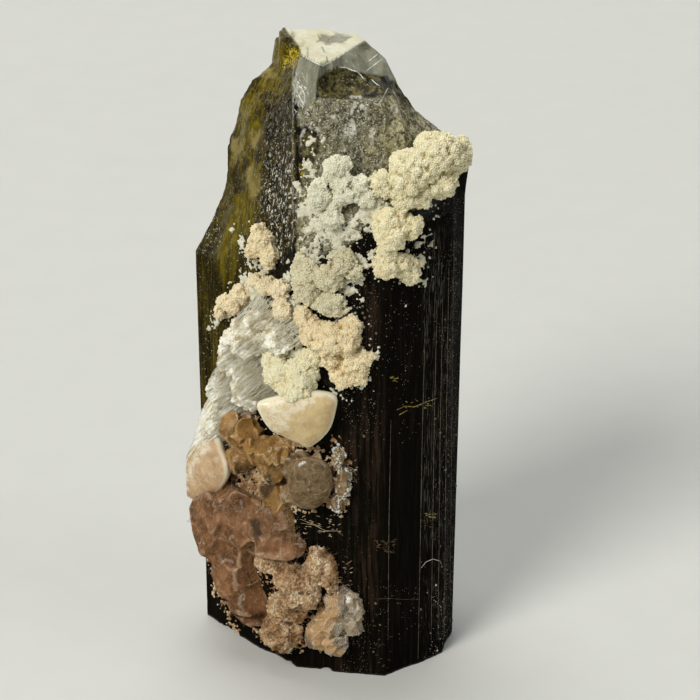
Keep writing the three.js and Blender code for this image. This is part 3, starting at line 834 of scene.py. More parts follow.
def crystal_skin(settings):
    """The crystal's surface as rings of points, found by rays from its middle."""
    tree = surface_tree(node_form("tourmaline_crystal"))
    angles = column_angles(settings.columns)
    rows = crystal_rows(settings)
    points = np.zeros((len(rows), len(angles), 3))
    for i, (z, rise) in enumerate(rows):
        start = Vector((CRYSTAL_MIDDLE[0], CRYSTAL_MIDDLE[1], max(z, 1e-3)))
        for j, angle in enumerate(angles):
            level = math.cos(rise)
            way = Vector((level * math.cos(angle), level * math.sin(angle), math.sin(rise)))
            hit = tree.ray_cast(start, way)[0]
            if hit is None:
                raise RuntimeError("a ray missed the crystal")
            points[i, j] = hit
    points[0, :, 2] = 0.0
    return points


def ring_faces(rows, columns):
    """Four-sided faces between neighbouring rings."""
    i, j = np.meshgrid(np.arange(rows - 1), np.arange(columns), indexing="ij")
    k = (j + 1) % columns
    above = i + 1
    faces = np.stack([i * columns + j, i * columns + k, above * columns + k, above * columns + j], axis=-1)
    return faces.reshape(-1, 4)


def strongest(at, places):
    """The strongest of several outlines, each given as its strength, outline, softness and wander."""
    return np.maximum.reduce([
        strength * within(at, outline, soft, wander) for strength, outline, soft, wander in places])


def crystal_marks(points, facing):
    """What each point of the crystal's surface is made to look like: marks from 0 to 1."""
    at = seen_at(points)
    edge = 2.2 * noise(points, 0.35, 3) + 1.4 * noise(points, 0.15, 4)
    front = ramp(facing, -0.05, 0.1)
    height = points[:, 2]
    notch = within(at, TOP_NOTCH, 1.6, 1.1 * edge)
    # cream: a painted reflection of the bright light above, on the top face
    cream = within(at, TOP_FACE, 0.8) * ramp(height, 31.2, 31.6) * (1 - 0.85 * notch)
    for crack in TOP_CRACKS:
        cream *= 1 - 0.6 * along_line(at, crack, 1.1)
    # grey: frosted facets, their grey partly a painted reflection of the bright room
    grey = strongest(at, [(1.0, GREY_LEFT, 1.0, 0.25 * edge), (1.0, GREY_RIGHT, 1.0, 0.25 * edge)])
    hollow = within(at, HOLLOW, 1.5, 0.8 * edge)
    slope = within(at, SLOPE, 2.5, edge) * front * (1 - hollow)
    dark = strongest(at, [
        (1.0, DARK_SLIVER, 1.5, 0.5 * edge), (1.0, DARK_OVAL, 2.0, 0.6 * edge),
        (0.8, HORN_DARK, 1.5, 0.4 * edge), (0.7, SLATE, 2.0, 0.0)])
    # olive, bright, tan and gold: painted light passing through thin crystal
    wander = (1 - front) * 45 * noise(points, (1.2, 1.2, 4), 12)
    body = within(at, OLIVE_BODY, 2.0 + 30 * (1 - front), wander) * (1 - cream)
    back = (1 - front) * ramp(height, 21.0, 27.0)
    bright = strongest(at, [
        *((0.75, place, 3.0, 2 * edge) for place in OLIVE_BRIGHT),
        (1.0, HORN_TAN, 2.0, edge), (0.55, HORN, 1.5, 0.5 * edge)])
    gold = strongest(at, [
        (1.0, HORN_GOLD, 2.0, edge), (1.0, GOLD_BAND, 1.2, 0.4 * edge),
        (0.5, HOLLOW_GOLD, 1.0, 0.3 * edge), (0.6, OVAL_GOLD, 1.5, 0.5 * edge)])
    white = 0.7 * along_line(at, WHITE_ARC, 2.0 + edge)
    white = np.maximum(white, 0.35 * along_line(at, RIDGE_LINE, 1.2))
    white *= ramp(noise(points, (0.2, 0.2, 0.4), 58), -0.7, 0.2)
    for x, y, radius in SLOPE_WHITE:
        spot = np.hypot(at[:, 0] - x, at[:, 1] - y)
        white = np.maximum(white, 0.8 * ramp(radius - spot + 2.5 * edge, 0, 3))
    scribble = within(at, SCRIBBLES, 2.0, edge) * ramp(noise(points, (0.12, 0.12, 0.3), 9), 0.1, 0.4)
    specks = strongest(at, [(1.0, SPECK_STRIP, 3.0, edge), (0.35, OLIVE_BODY, 4.0, 0.0)])
    strip = within(at, ROUGH_STRIP, 5.0, 2.5 * edge) * front
    return {
        "cream": cream,
        "grey": np.maximum(grey, notch) * front,
        "slope": slope,
        "dark": np.maximum(hollow * (1 - grey), dark) * front,
        "olive": np.maximum(body * (1 - 0.3 * within(at, DARK_BAND, 5.0, 2 * edge)), 0.6 * back),
        "bright": bright * front,
        "gold": gold * front,
        "tan": strongest(at, [(1.0, place, 4.0, 2.2 * edge) for place in TAN_WINDOWS]) * front,
        "white": np.maximum(white, 0.5 * scribble) * front,
        "specks": np.maximum(specks, 0.8 * slope) * front,
        "strip": strip,
        "dash": strip * (0.3 + 0.7 * ramp(at[:, 1], *DASHES_FROM)),
        "gilt": within(at, SLOPE_GILT, 8.0, 3 * edge) * front,
        "brown": within(at, BROWN_FRONT, 6.0) * front,
        # On the right faces: dust and grey streaks of painted reflection
        "dust": within(at, DUST_AND_REFLECTION_SIDE, 3.0) * front,
    }


def crystal_relief(points, marks):
    """How far each point stands out from the plain form, in millimetres."""
    settings = bpy.context.scene.crystal_finish
    height = points[:, 2]
    lines = (
        0.50 * noise(points, (0.62, 0.62, 16), 21)
        + 0.32 * noise(points, (0.27, 0.27, 9), 22)
        + 0.20 * noise(points, (0.13, 0.13, 5), 23)
    )
    plain = np.maximum.reduce([marks["cream"], marks["grey"], marks["slope"], marks["dark"]])
    lined = (1 - plain) * (1 - 0.6 * ramp(height, 28.5, 31))
    relief = settings.groove_depth * (lines - 0.5) * lined
    broken = np.maximum(marks["slope"], marks["dark"])
    relief += settings.slope_relief * broken * (rough(points, 0.9, 4, 31) - 0.35)
    relief += 0.06 * broken * noise(points, 0.16, 37)
    rough_side = marks["olive"] * ramp(height, 17, 22)
    relief += 0.07 * rough_side * (rough(points, (0.35, 0.35, 1.1), 3, 41) - 0.3)
    relief += 0.03 * marks["specks"] * noise(points, 0.15, 43)
    relief -= 0.03 * marks["grey"] * ramp(noise(points, (0.3, 0.3, 0.5), 47), 0.3, 0.6)
    relief += 0.02 * marks["white"]
    chips = ramp(noise(points, 0.9, 51), 0.35, 0.6) * ramp(-height, -0.9, 0)
    relief -= 0.35 * chips * ramp(height, -0.1, 0.05)
    nicks = ramp(noise(points, (0.3, 0.3, 0.7), 53), 0.62, 0.8) * ramp(height, 21, 22)
    return relief - 0.05 * nicks


def rounded_hollow(points, triangles):
    """The crystal's points with the hollow of the broken top rounded off."""
    zone = within(seen_at(points), HOLLOW_ZONE, 4.0) * ramp(points[:, 2], 29.2, 29.8)
    for _ in range(HOLLOW_ROUNDS):
        points = points + 0.6 * zone[:, None] * (neighbour_mean(points, triangles, len(points)) - points)
    return points


def closed_rings(points, faces, columns):
    """Rings of points closed into a crown above and an underside below, as points and triangles."""
    ring_points = len(points)
    axis = CRYSTAL_MIDDLE[:2]
    under_rings = []
    for share in UNDER_RINGS:
        ring = points[:columns].copy()
        ring[:, :2] = axis + share * (ring[:, :2] - axis)
        under_rings.append(ring)
    crown = points[-columns:].mean(axis=0)
    all_points = np.concatenate([points, [crown], *under_rings, [[*axis, 0.0]]])
    steps = [(j, (j + 1) % columns) for j in range(columns)]
    last = ring_points - columns
    closing = [(last + a, last + b, ring_points, ring_points) for a, b in steps]
    starts = [0] + [ring_points + 1 + k * columns for k in range(len(UNDER_RINGS))]
    for outer, inner in zip(starts[:-1], starts[1:]):
        closing += [(outer + b, outer + a, inner + a, inner + b) for a, b in steps]
    centre = len(all_points) - 1
    closing += [(starts[-1] + b, starts[-1] + a, centre, centre) for a, b in steps]
    triangles = halved(np.concatenate([faces, np.array(closing)]))
    a, b, c = triangles.T
    return all_points, triangles[(a != b) & (b != c) & (a != c)]


def halved(quads):
    """Four-sided faces cut into triangles."""
    return np.concatenate([quads[:, [0, 1, 2]], quads[:, [0, 2, 3]]])


def make_crystal():
    """The tourmaline itself."""
    grid = crystal_skin(bpy.context.scene.crystal_finish)
    rows, columns = grid.shape[:2]
    faces = ring_faces(rows, columns)
    triangles = halved(faces)
    points = rounded_hollow(grid.reshape(-1, 3), triangles)
    normals = relaxed(corner_normals(points, triangles), triangles, 2)
    normals /= np.linalg.norm(normals, axis=1, keepdims=True)
    marks = crystal_marks(points, -(normals @ VIEW_AHEAD))
    out = normals.copy()
    out[points[:, 2] < 0.001, 2] = 0.0
    points = points + crystal_relief(points, marks)[:, None] * out
    points[:columns, 2] = 0.0
    top = len(points)
    form = closed_rings(points, faces, columns)
    extra = np.zeros(len(form[0]) - top)
    stored = {name: np.concatenate([values, extra]) for name, values in marks.items()}
    # The crown's point takes the top face's painted reflection too
    stored["cream"][top] = 1.0
    finished(
        "crystal_skin", form, tourmaline_finish(), ["tourmaline_crystal"], stored, sharp=38)
    make_threads(surface_tree(form))


def make_threads(tree):
    """Bright edges, hairs, scratches, thin veins and painted reflections on the crystal."""
    edges = [ribbon(tree, line, 0.03) for line in PALE_RIMS] + [ribbon(tree, HAIR, 0.014)]
    edges += scribbles(tree, FACET_SCRATCHES, 46, (2, 6), 0.02, 17)
    for name, lines, half_width, flecks, light, deep in THREADS:
        parts = [ribbon(tree, line, half_width) for line in lines]
        for seed, (area, count) in enumerate(flecks):
            parts += scribbles(tree, area, count, (1.5, 4), 1.2 * half_width, 30 + seed, (-0.6, 0.6))
        finished(name, joined([part for part in parts if part]), edge_finish(name, light, deep))
    bright = edge_finish("bright_edges", (0.85, 0.85, 0.78), (0.45, 0.45, 0.38))
    finished("bright_edges", joined([edge for edge in edges if edge]), bright)


def scribbles(tree, area, count, lengths, half_width, seed, leans=(0.6, 2.2)):
    """Short bent threads on a surface, scattered over a box of pixels."""
    random = np.random.default_rng(seed)
    left, top, right, bottom = area
    threads = []
    for _ in range(count):
        x, y = random.uniform(left, right), random.uniform(top, bottom)
        turn, length = random.uniform(*leans), random.uniform(*lengths)
        bend = random.normal(0, 0.25 * length)
        middle = (x + math.cos(turn) * length / 2 + bend, y + math.sin(turn) * length / 2)
        end = (x + math.cos(turn) * length, y + math.sin(turn) * length)
        threads.append(ribbon(tree, [(x, y), middle, end], half_width * random.uniform(0.6, 1.4)))
    return threads


def edge_finish(name, light, deep):
    """Chipped edges, scratches, threads and painted reflections along edges."""
    look = Finish(name)
    base = look.mix(look.between(look.grain(0.2, 2, 0.6), 0.4, 0.6), deep, light)
    return look.surface(base_color=base, roughness=0.45)


def tourmaline_finish():
    """Glossy black tourmaline: olive and gold painted light where it is thin, frosted and speckled where it
    is broken, with painted reflections on the broken top and the right faces.
    """
    settings = bpy.context.scene.crystal_finish
    look = Finish("tourmaline")
    streak = look.grain(0.16, 4, 0.6, stretch=(1, 1, 0.06))
    fine_streak = look.grain(0.06, 2, 0.6, stretch=(1, 1, 0.08))
    cloud = look.grain(1.3, 3, 0.6, stretch=(1, 1, 0.35))
    lump = look.grain(0.28, 3, 0.6)
    small_speck = look.grain(0.11, 3, 0.7)
    coarse_speck = look.grain(0.10, 3, 0.7)
    dash = look.grain(0.11, 3, 0.7, stretch=(1.2, 1.2, 0.4))

    base = look.mix(look.between(streak, 0.45, 0.75), settings.black, (0.012, 0.009, 0.006))
    brown_share = look.mark("brown") * look.between(cloud, 0.35, 0.65) * look.between(streak, 0.4, 0.65)
    base = look.mix(brown_share * 0.8, base, (0.035, 0.02, 0.012))
    dots = look.mark("brown") * look.between(small_speck, 0.6, 0.7) * look.between(streak, 0.42, 0.6)
    base = look.mix(dots * 0.6, base, (0.16, 0.11, 0.07))
    # Grey streaks on the right faces: dust, partly a painted reflection
    dust = look.mark("dust") * look.between(fine_streak, 0.5, 0.68) * look.between(cloud, 0.3, 0.65)
    base = look.mix(dust * 0.75, base, (0.13, 0.125, 0.095))

    # Olive, glow, tan and gold tones: painted light passing through thin crystal
    tone = look.node("ShaderNodeValToRGB", {"stops": [
        (0.36, (0.007, 0.005, 0.0005)), (0.48, settings.olive), (0.6, (0.11, 0.08, 0.004)),
        (0.72, (0.22, 0.18, 0.05))]}, {"Fac": streak * 0.5 + cloud * 0.3 + lump * 0.2})
    base = look.mix(look.mark("olive"), base, tone)
    glow = look.mix(look.between(streak, 0.35, 0.65), (0.075, 0.055, 0.001), (0.20, 0.15, 0.008))
    base = look.mix(look.mark("bright") * look.between(cloud, 0.25, 0.5), base, glow)
    base = look.mix(look.mark("tan") * look.between(cloud, 0.3, 0.6) * 0.8, base, (0.28, 0.22, 0.07))
    spark = look.mix(look.between(small_speck, 0.45, 0.62), (0.10, 0.07, 0.001), (0.60, 0.46, 0.04))
    base = look.mix(look.mark("gold"), base, spark)
    strip_tone = look.mix(look.between(streak, 0.4, 0.62), (0.005, 0.0035, 0.0015), (0.045, 0.033, 0.010))
    base = look.mix(look.mark("strip") * 0.92, base, strip_tone)
    dashes = look.between(dash, 0.53, 0.6) * look.between(lump, 0.44, 0.54)
    base = look.mix(look.mark("dash") * dashes, base, (0.72, 0.70, 0.57))

    # The grey facets: frosted, and partly a painted reflection of the bright room
    grey = look.mix(look.between(cloud, 0.35, 0.65), (0.19, 0.187, 0.13), (0.31, 0.305, 0.22))
    grey = look.mix(look.between(streak, 0.5, 0.72) * 0.55, grey, (0.48, 0.47, 0.38))
    grey = look.mix(look.between(lump, 0.55, 0.7) * 0.5, grey, (0.10, 0.095, 0.06))
    base = look.mix(look.mark("grey"), base, grey)
    slope_low = look.mix(look.between(cloud, 0.4, 0.7), (0.045, 0.040, 0.018), (0.12, 0.10, 0.035))
    slope_mid = look.mix(look.between(cloud, 0.4, 0.7), (0.20, 0.19, 0.12), (0.30, 0.27, 0.13))
    slope_mid = look.mix(look.mark("gilt"), slope_mid, (0.42, 0.38, 0.20))
    slope_tone = look.mix(look.between(lump, 0.38, 0.6), slope_low, slope_mid)
    slope_tone = look.mix(look.between(coarse_speck, 0.56, 0.65), slope_tone, (0.60, 0.58, 0.46))
    slope_tone = look.mix(look.between(small_speck, 0.42, 0.36), slope_tone, (0.015, 0.012, 0.004))
    base = look.mix(look.mark("slope"), base, slope_tone)
    dark_tone = look.mix(look.between(lump, 0.40, 0.62), (0.018, 0.014, 0.002), (0.13, 0.11, 0.03))
    dark_tone = look.mix(look.between(small_speck, 0.58, 0.66), dark_tone, (0.32, 0.30, 0.18))
    base = look.mix(look.mark("dark"), base, dark_tone)
    # The top face's cream: a painted reflection of the bright light above
    cream = look.mix(look.between(cloud, 0.35, 0.7), (0.66, 0.62, 0.42), (0.75, 0.735, 0.57))
    cream = look.mix(look.between(lump, 0.56, 0.7) * 0.5, cream, (0.45, 0.40, 0.24))
    base = look.mix(look.mark("cream"), base, cream)
    speck_share = look.mark("specks") * look.between(small_speck, 0.60, 0.68)
    patches = look.mark("white") * look.between(small_speck, 0.36, 0.5)
    white = (speck_share * 0.9).largest(patches).held()
    base = look.mix(white, base, (0.64, 0.62, 0.52))

    broken = look.mark("slope").largest(look.mark("grey")).largest(look.mark("cream")).largest(white).held()
    gloss = look.blend(broken, look.blend(look.mark("dark"), 0.16, 0.5), 0.55)
    relief = fine_streak * (1 - broken) + small_speck * broken
    normal = look.bump(relief, 0.03, 0.7)
    return look.surface(
        base_color=base, roughness=gloss, normal=normal, specular_ior_level=0.22)


def feldspar_finish(name, light, shade):
    """Sugary feldspar: pale sparkling grains, with painted shade, darker and warmer, in the creases and pits.
    """
    look = Finish(name)
    cloud = look.grain(0.8, 3, 0.55)
    sugar = look.grain(0.075, 3, 0.7)
    middle = tuple(0.6 * a + 0.4 * b for a, b in zip(light, shade))
    base = look.mix(look.between(cloud, 0.4, 0.75) * 0.7, light, middle)
    # Painted shade in the creases and pits
    base = look.mix(look.between(look.mark("crease"), 0.0, 0.9) * 0.85, base, shade)
    base = look.mix(look.between(look.mark("pit"), 0.1, 0.9) * 0.6, base, shade)
    bright = tuple(min(1.0, 0.25 + 0.82 * part) for part in light)
    base = look.mix(look.between(sugar, 0.52, 0.66) * (look.mark("sugar") * 0.45 + 0.35), base, bright)
    base = look.mix(look.between(sugar, 0.45, 0.34) * 0.4, base, middle)
    normal = look.bump(sugar, 0.04, 0.8)
    return look.surface(
        base_color=base, roughness=look.blend(look.between(sugar, 0.4, 0.6), 0.32, 0.75), normal=normal,
        subsurface_weight=0.25, subsurface_radius=(1.0, 0.85, 0.6), subsurface_scale=0.15 * MM)


def crystal_grown(node, cell, grain, second_grain):
    """A node's lumps covered with rounded grains of two half widths and fused into one skin."""
    points, triangles = node_form(node)
    core = (points - CORE_INSET * corner_normals(points, triangles), triangles)
    coarse = grains(core, 1.15 * grain, 0.65 * grain, 1.15 * grain, 1, facets=2)
    fine = grains(core, 1.6 * second_grain, 0.8 * second_grain, 1.5 * second_grain, 2, facets=2)
    return fused(joined([core, moved_in(core, CORE_DEPTH), coarse, fine]), cell)


# How far lumps are drawn in under their grains, in millimetres
CORE_INSET = 0.12
# How far glassy lumps are drawn in
GLASS_INSET = 0.1
# How far a core is carried on towards the crystal's middle line
CORE_DEPTH = 0.45


def sugared(form, seed, height=0.035):
    """A skin roughened like sugar, with its creases marked."""
    points, triangles = form
    normals = corner_normals(points, triangles)
    relief = 1.5 * height * noise(points, 0.42, seed) + height * noise(points, 0.19, seed + 1)
    relief += 1.1 * height * (0.5 - np.abs(noise(points, 0.12, seed + 2)))
    points = points + (relief - 0.5 * height)[:, None] * normals
    marks = {"crease": creases(points, triangles, 14), "pit": creases(points, triangles, 3)}
    return (points, triangles), marks


# The feldspar clusters: node, half width of the grains, light colour, and shade, which is painted in the
# creases and mixed into the tone
CLUSTERS = [
    ("shoulder_feldspar", 0.24, (0.89, 0.82, 0.54), (0.44, 0.32, 0.12)),
    ("upper_feldspar", 0.22, (0.86, 0.84, 0.64), (0.36, 0.32, 0.15)),
    ("column_feldspar", 0.22, (0.94, 0.85, 0.55), (0.50, 0.34, 0.12)),
    ("middle_feldspar", 0.18, (0.76, 0.70, 0.47), (0.30, 0.21, 0.08)),
    ("saddle_feldspar", 0.22, (0.95, 0.80, 0.50), (0.52, 0.32, 0.10)),
    ("muffin_feldspar", 0.18, (0.95, 0.89, 0.61), (0.62, 0.46, 0.20)),
    ("left_feldspar_upper", 0.15, (0.94, 0.79, 0.49), (0.36, 0.22, 0.07)),
    ("left_feldspar_middle", 0.15, (0.96, 0.82, 0.54), (0.42, 0.28, 0.11)),
    ("left_feldspar_lower", 0.14, (0.95, 0.80, 0.52), (0.40, 0.27, 0.10)),
]


def make_feldspar():
    """The cream clusters of feldspar grains."""
    settings = bpy.context.scene.feldspar_finish
    for seed, (node, grain, light, shade) in enumerate(CLUSTERS):
        skin = crystal_grown(node, settings.cell, grain, 0.5 * grain)
        form, marks = sugared(skin, 100 + 10 * seed)
        form, marks = sugar_coated(form, marks, settings.sugar_spacing, 0.03, 0.085, 130 + seed)
        material = feldspar_finish(node + "_finish", light, shade)
        finished(node + "_grains", form, material, [node], marks, sharp=33)


def finished_form(name):
    """A finished piece's form, in millimetres."""
    points, triangles = as_arrays(bpy.data.objects[name].data)
    return points / MM, triangles


def facing_viewer(form):
    """How much each point of a form faces the viewer, from -1 to 1."""
    return -(corner_normals(*form) @ VIEW_AHEAD)


def cover(points, facing, areas, patch, seed):
    """How closely grains cover the crystal: the areas' shares, broken up into patches."""
    at = seen_at(points)
    wander = 5 * noise(points, 0.5, seed) + 3 * noise(points, 0.2, seed + 1)
    share = np.maximum.reduce([weight * within(at, area, 5, wander) for weight, area in areas])
    share *= 1 - np.maximum.reduce([within(at, gap, 2, wander) for gap in BARE_GAPS])
    holes = ramp(rough(points, patch, 2, seed + 2), -0.45, 0.1)
    return share * holes * ramp(facing, 0.0, 0.15)


def make_crusts():
    """The granular crusts between the clusters, and the loose crumbs on the crystal."""
    form = finished_form("crystal_skin")
    facing = facing_viewer(form)
    # The pale crust's second colour is the shade painted in its creases
    pale = feldspar_finish("pale_crust_finish", (0.78, 0.75, 0.58), (0.26, 0.22, 0.12))
    for name, areas, material, slot, seed in (
            ("pale_crust", PALE_CRUST, pale, "feldspar", 501),
            ("tan_crust", TAN_CRUST, sandy_finish(), "sandy_feldspar", 521)):
        part, density = marked_part(form, cover(form[0], facing, areas, 0.7, seed))
        coarse = grains(part, 0.24, 0.06, 0.19, seed, 2, 0.8 * density ** 1.5)
        fine = grains(part, 0.12, 0.05, 0.10, seed + 1, 1, density)
        skin, marks = sugared(fused(joined([coarse, fine]), CRUST_CELL), seed, 0.03)
        skin, marks = sugar_coated(skin, marks, 0.16, 0.025, 0.08, seed + 2)
        finished(name, skin, material, marks=marks, sharp=33)
    for name, areas, light, deep, seed in (
            ("crumbs", CRUMBS, (0.56, 0.54, 0.43), (0.30, 0.27, 0.18), 541),
            ("dim_crumbs", DIM_CRUMBS, (0.15, 0.12, 0.075), (0.07, 0.05, 0.03), 551)):
        part, density = marked_part(form, cover(form[0], facing, areas, 0.4, seed))
        small = grains(part, 0.12, 0.010, 0.032, 9, 1, 0.7 * density)
        large = grains(part, 0.25, 0.03, 0.08, 10, 1, 0.4 * density ** 2)
        finished(name, joined([small, large]), feldspar_finish(name + "_finish", light, deep))


# Width of the crusts' faces, in millimetres
CRUST_CELL = 0.07

# The way that the silky fibres run
SILKY_WAY = (0.62, -0.3, 0.74)
# The streaks in the silky crust: height, sizes along and across, and seed
SILKY_STREAKS = ((0.45, (2.4, 0.2, 0.3), 301), (0.35, (1.6, 0.11, 0.2), 303), (0.3, (1.3, 0.07, 0.14), 304))
# Width of the silky crust's faces, in millimetres
SILKY_CELL = 0.06


def silky_finish():
    """Silky white fibres lying side by side, with grains among them, painted sheen on the streaks' ridges and
    painted shade in their grooves and creases.
    """
    look = Finish("silky")
    settings = bpy.context.scene.fibre_finish
    cloud = look.grain(0.6, 3, 0.6)
    fine = look.grain(0.08, 2, 0.6)
    base = look.mix(look.between(cloud, 0.3, 0.65), (0.74, 0.66, 0.44), settings.white)
    # Painted shade in the streaks' grooves, painted sheen on their ridges, painted shade in the creases
    base = look.mix(look.between(look.mark("streak"), 0.0, 0.45) * 0.75, base, (0.44, 0.36, 0.20))
    base = look.mix(look.between(look.mark("streak") * -1, 0.05, 0.4) * 0.7, base, (1.0, 0.98, 0.87))
    base = look.mix(look.between(look.mark("crease"), 0.2, 1.0) * 0.6, base, (0.32, 0.25, 0.13))
    base = look.mix(look.between(fine, 0.54, 0.64) * 0.5, base, (1.0, 0.99, 0.93))
    normal = look.bump(fine, 0.02, 0.6)
    return look.surface(base_color=base, roughness=0.4, normal=normal, specular_ior_level=0.6)


def make_silky():
    """The fibrous white crust that runs down to the left."""
    settings = bpy.context.scene.fibre_finish
    material = silky_finish()
    core = node_form("silky_crust")
    around_ridge = surface_tree(joined([core, node_form("finger_quartz"), node_form("tan_quartz")]))
    ridge = pebble(SILKY_RIDGE, around_ridge, FLANK, 0.6, 1.0, rings=12)[:2]
    lumps = grains(core, 0.3, 0.1, 0.25, 41, facets=2)
    points, triangles = fused(joined([core, moved_in(core, 0.5), lumps, ridge]), SILKY_CELL)
    points = relaxed(points, triangles, 5)
    normals = corner_normals(points, triangles)
    streak = sum(height * streaked(points, SILKY_WAY, sizes, seed) for height, sizes, seed in SILKY_STREAKS)
    granular = within(seen_at(points), SILKY_TOP, 6, 6 * noise(points, 0.6, 305))
    relief = 0.08 * streak * (1 - 0.6 * granular) + 0.07 * granular * rough(points, 0.3, 3, 307)
    points = points + relief[:, None] * normals
    form = (points, triangles)
    # streak: the relief turned over, bright where painted sheen goes and dark where painted shade goes
    marks = {"crease": creases(points, triangles, 8), "streak": -streak * (1 - 0.5 * granular)}
    sugar_density = granular * ramp(noise(points, 0.4, 309), -0.6, 0.2)
    coated, both = sugar_coated(form, marks, 0.1, 0.03, 0.12, 311, sugar_density)
    finished("silky_crust_base", coated, material, ["silky_crust"], both, sharp=50)
    fibres = grown(form, fibre_tree(), {
        "Spacing": settings.spacing, "Length": settings.length, "Thickness": settings.thickness,
        "Direction": SILKY_WAY, "Spread": 0.16, "Wave": 0.25, "Seed": 4},
        density=ramp(facing_viewer(form), -0.3, 0.1) * (1 - 0.55 * granular), material=material)
    finished("silky_fibres", fibres, material)


# Each quartz: its light, deep and edge colours (the edge colour is also its painted highlight), how hazy it
# is, its least roughness, its grains' whiteness
QUARTZ_LOOKS = {
    "milky_quartz": ((0.72, 0.56, 0.30), (0.60, 0.44, 0.22), (0.96, 0.91, 0.70), 0.3, 0.1, 0.85),
    "finger_quartz_finish": ((0.62, 0.44, 0.26), (0.50, 0.33, 0.18), (0.88, 0.82, 0.62), 0.4, 0.15, 0.85),
    "tan_quartz_finish": ((0.40, 0.22, 0.065), (0.20, 0.10, 0.024), (0.58, 0.42, 0.20), 0.5, 0.22, 0.85),
    "smoky_quartz_finish": ((0.31, 0.15, 0.065), (0.13, 0.06, 0.024), (0.50, 0.36, 0.23), 0.75, 0.2, 0.85),
    "clear_quartz_finish": ((0.26, 0.17, 0.08), (0.12, 0.07, 0.03), (0.60, 0.53, 0.38), 0.4, 0.15, 0.85),
    "foot_quartz_finish": ((0.42, 0.34, 0.23), (0.18, 0.12, 0.07), (0.80, 0.74, 0.6), 0.6, 0.15, 0.6),
}


def quartz_finish(name):
    """Glassy quartz: painted shade, a deep colour, in the creases and hollows; painted highlights on crests
    and pale thin edges; milky veils, white grains on it.
    """
    light, deep, edge, haze, gloss, frost = QUARTZ_LOOKS[name]
    look = Finish(name)
    cloud = look.grain(0.9, 4, 0.6)
    veil = look.grain(0.3, 4, 0.65, distortion=0.8)
    fine = look.grain(0.07, 3, 0.65)
    base = look.mix(look.between(cloud, 0.35, 0.65), deep, light)
    base = look.mix(look.between(veil, 0.5, 0.75) * haze, base, edge)
    base = look.mix(look.mark("warm"), base, (0.50, 0.31, 0.14))
    # Painted shade in the creases, and near-black painted shade in the hollows
    darkest = tuple(0.4 * part for part in deep)
    base = look.mix(look.between(look.mark("crease"), 0.1, 1.0) * 0.6, base, darkest)
    base = look.mix(look.mark("hollow") * 0.85, base, (0.03, 0.018, 0.008))
    # Painted highlight on the crests and along the stone's rim
    crest = look.between(look.mark("pit") * -1, 0.3, 1.0)
    base = look.mix(crest * 0.5, base, edge)
    base = look.mix(look.mark("rim") * 0.9, base, edge)
    silk = look.between(look.mark("veil") * 0.9 + (veil - 0.5) * 1.8 + (fine - 0.5) * 1.8, 0.35, 1.25)
    base = look.mix(silk * 0.8, base, (0.86, 0.81, 0.64))
    base = look.mix(look.mark("sugar") * frost, base, (0.80, 0.77, 0.64))
    normal = look.bump(look.blend(look.mark("veil"), veil, fine), 0.03, 0.4)
    roughness = look.blend(look.mark("hollow"), look.blend(look.between(veil, 0.4, 0.6), gloss, 0.5), 0.95)
    return look.surface(
        base_color=base, roughness=roughness, ior=1.54, specular_ior_level=0.35, subsurface_weight=0.35,
        subsurface_radius=(1.0, 0.7, 0.4), subsurface_scale=0.3 * MM, normal=normal)


def glass_finish(name, tint):
    """Clear crystal that shows what lies behind it, with a few veils and specks."""
    look = Finish(name)
    veil = look.grain(0.35, 4, 0.65, distortion=1.0)
    fine = look.grain(0.08, 2, 0.6)
    clear = look.node("ShaderNodeBsdfPrincipled", None, {
        "Base Color": tint, "Transmission Weight": 1.0, "Roughness": 0.08, "IOR": 1.54,
        "Normal": look.bump(veil, 0.02, 0.4)})
    haze = look.mix(look.between(veil, 0.25, 0.75), (0.20, 0.13, 0.06), (0.34, 0.245, 0.13))
    milky = look.node("ShaderNodeBsdfPrincipled", None, {
        "Base Color": haze, "Roughness": 0.3, "Subsurface Weight": 0.3, "Subsurface Scale": 0.3 * MM})
    specks = look.between(fine, 0.64, 0.70)
    share = (look.between(veil, 0.35, 0.7) * 0.4 + look.mark("rim") * 0.4 + specks * 0.3 + 0.5).held()
    mixed = look.node("ShaderNodeMixShader", None, {0: share, 1: clear, 2: milky})
    look.node("ShaderNodeOutputMaterial", None, {"Surface": mixed})
    return look.material


def smooth_outline(outline, per_side=10):
    """A closed curve that passes through every point of an outline."""
    knots = np.array(outline, float)
    count = len(knots)
    curve = []
    for i in range(count):
        p0, p1, p2, p3 = (knots[(i + k - 1) % count] for k in range(4))
        for t in np.linspace(0, 1, per_side, endpoint=False):
            curve.append(0.5 * (
                2 * p1 + (p2 - p0) * t + (2 * p0 - 5 * p1 + 4 * p2 - p3) * t ** 2
                + (3 * p1 - p0 - 3 * p2 + p3) * t ** 3))
    return np.array(curve)


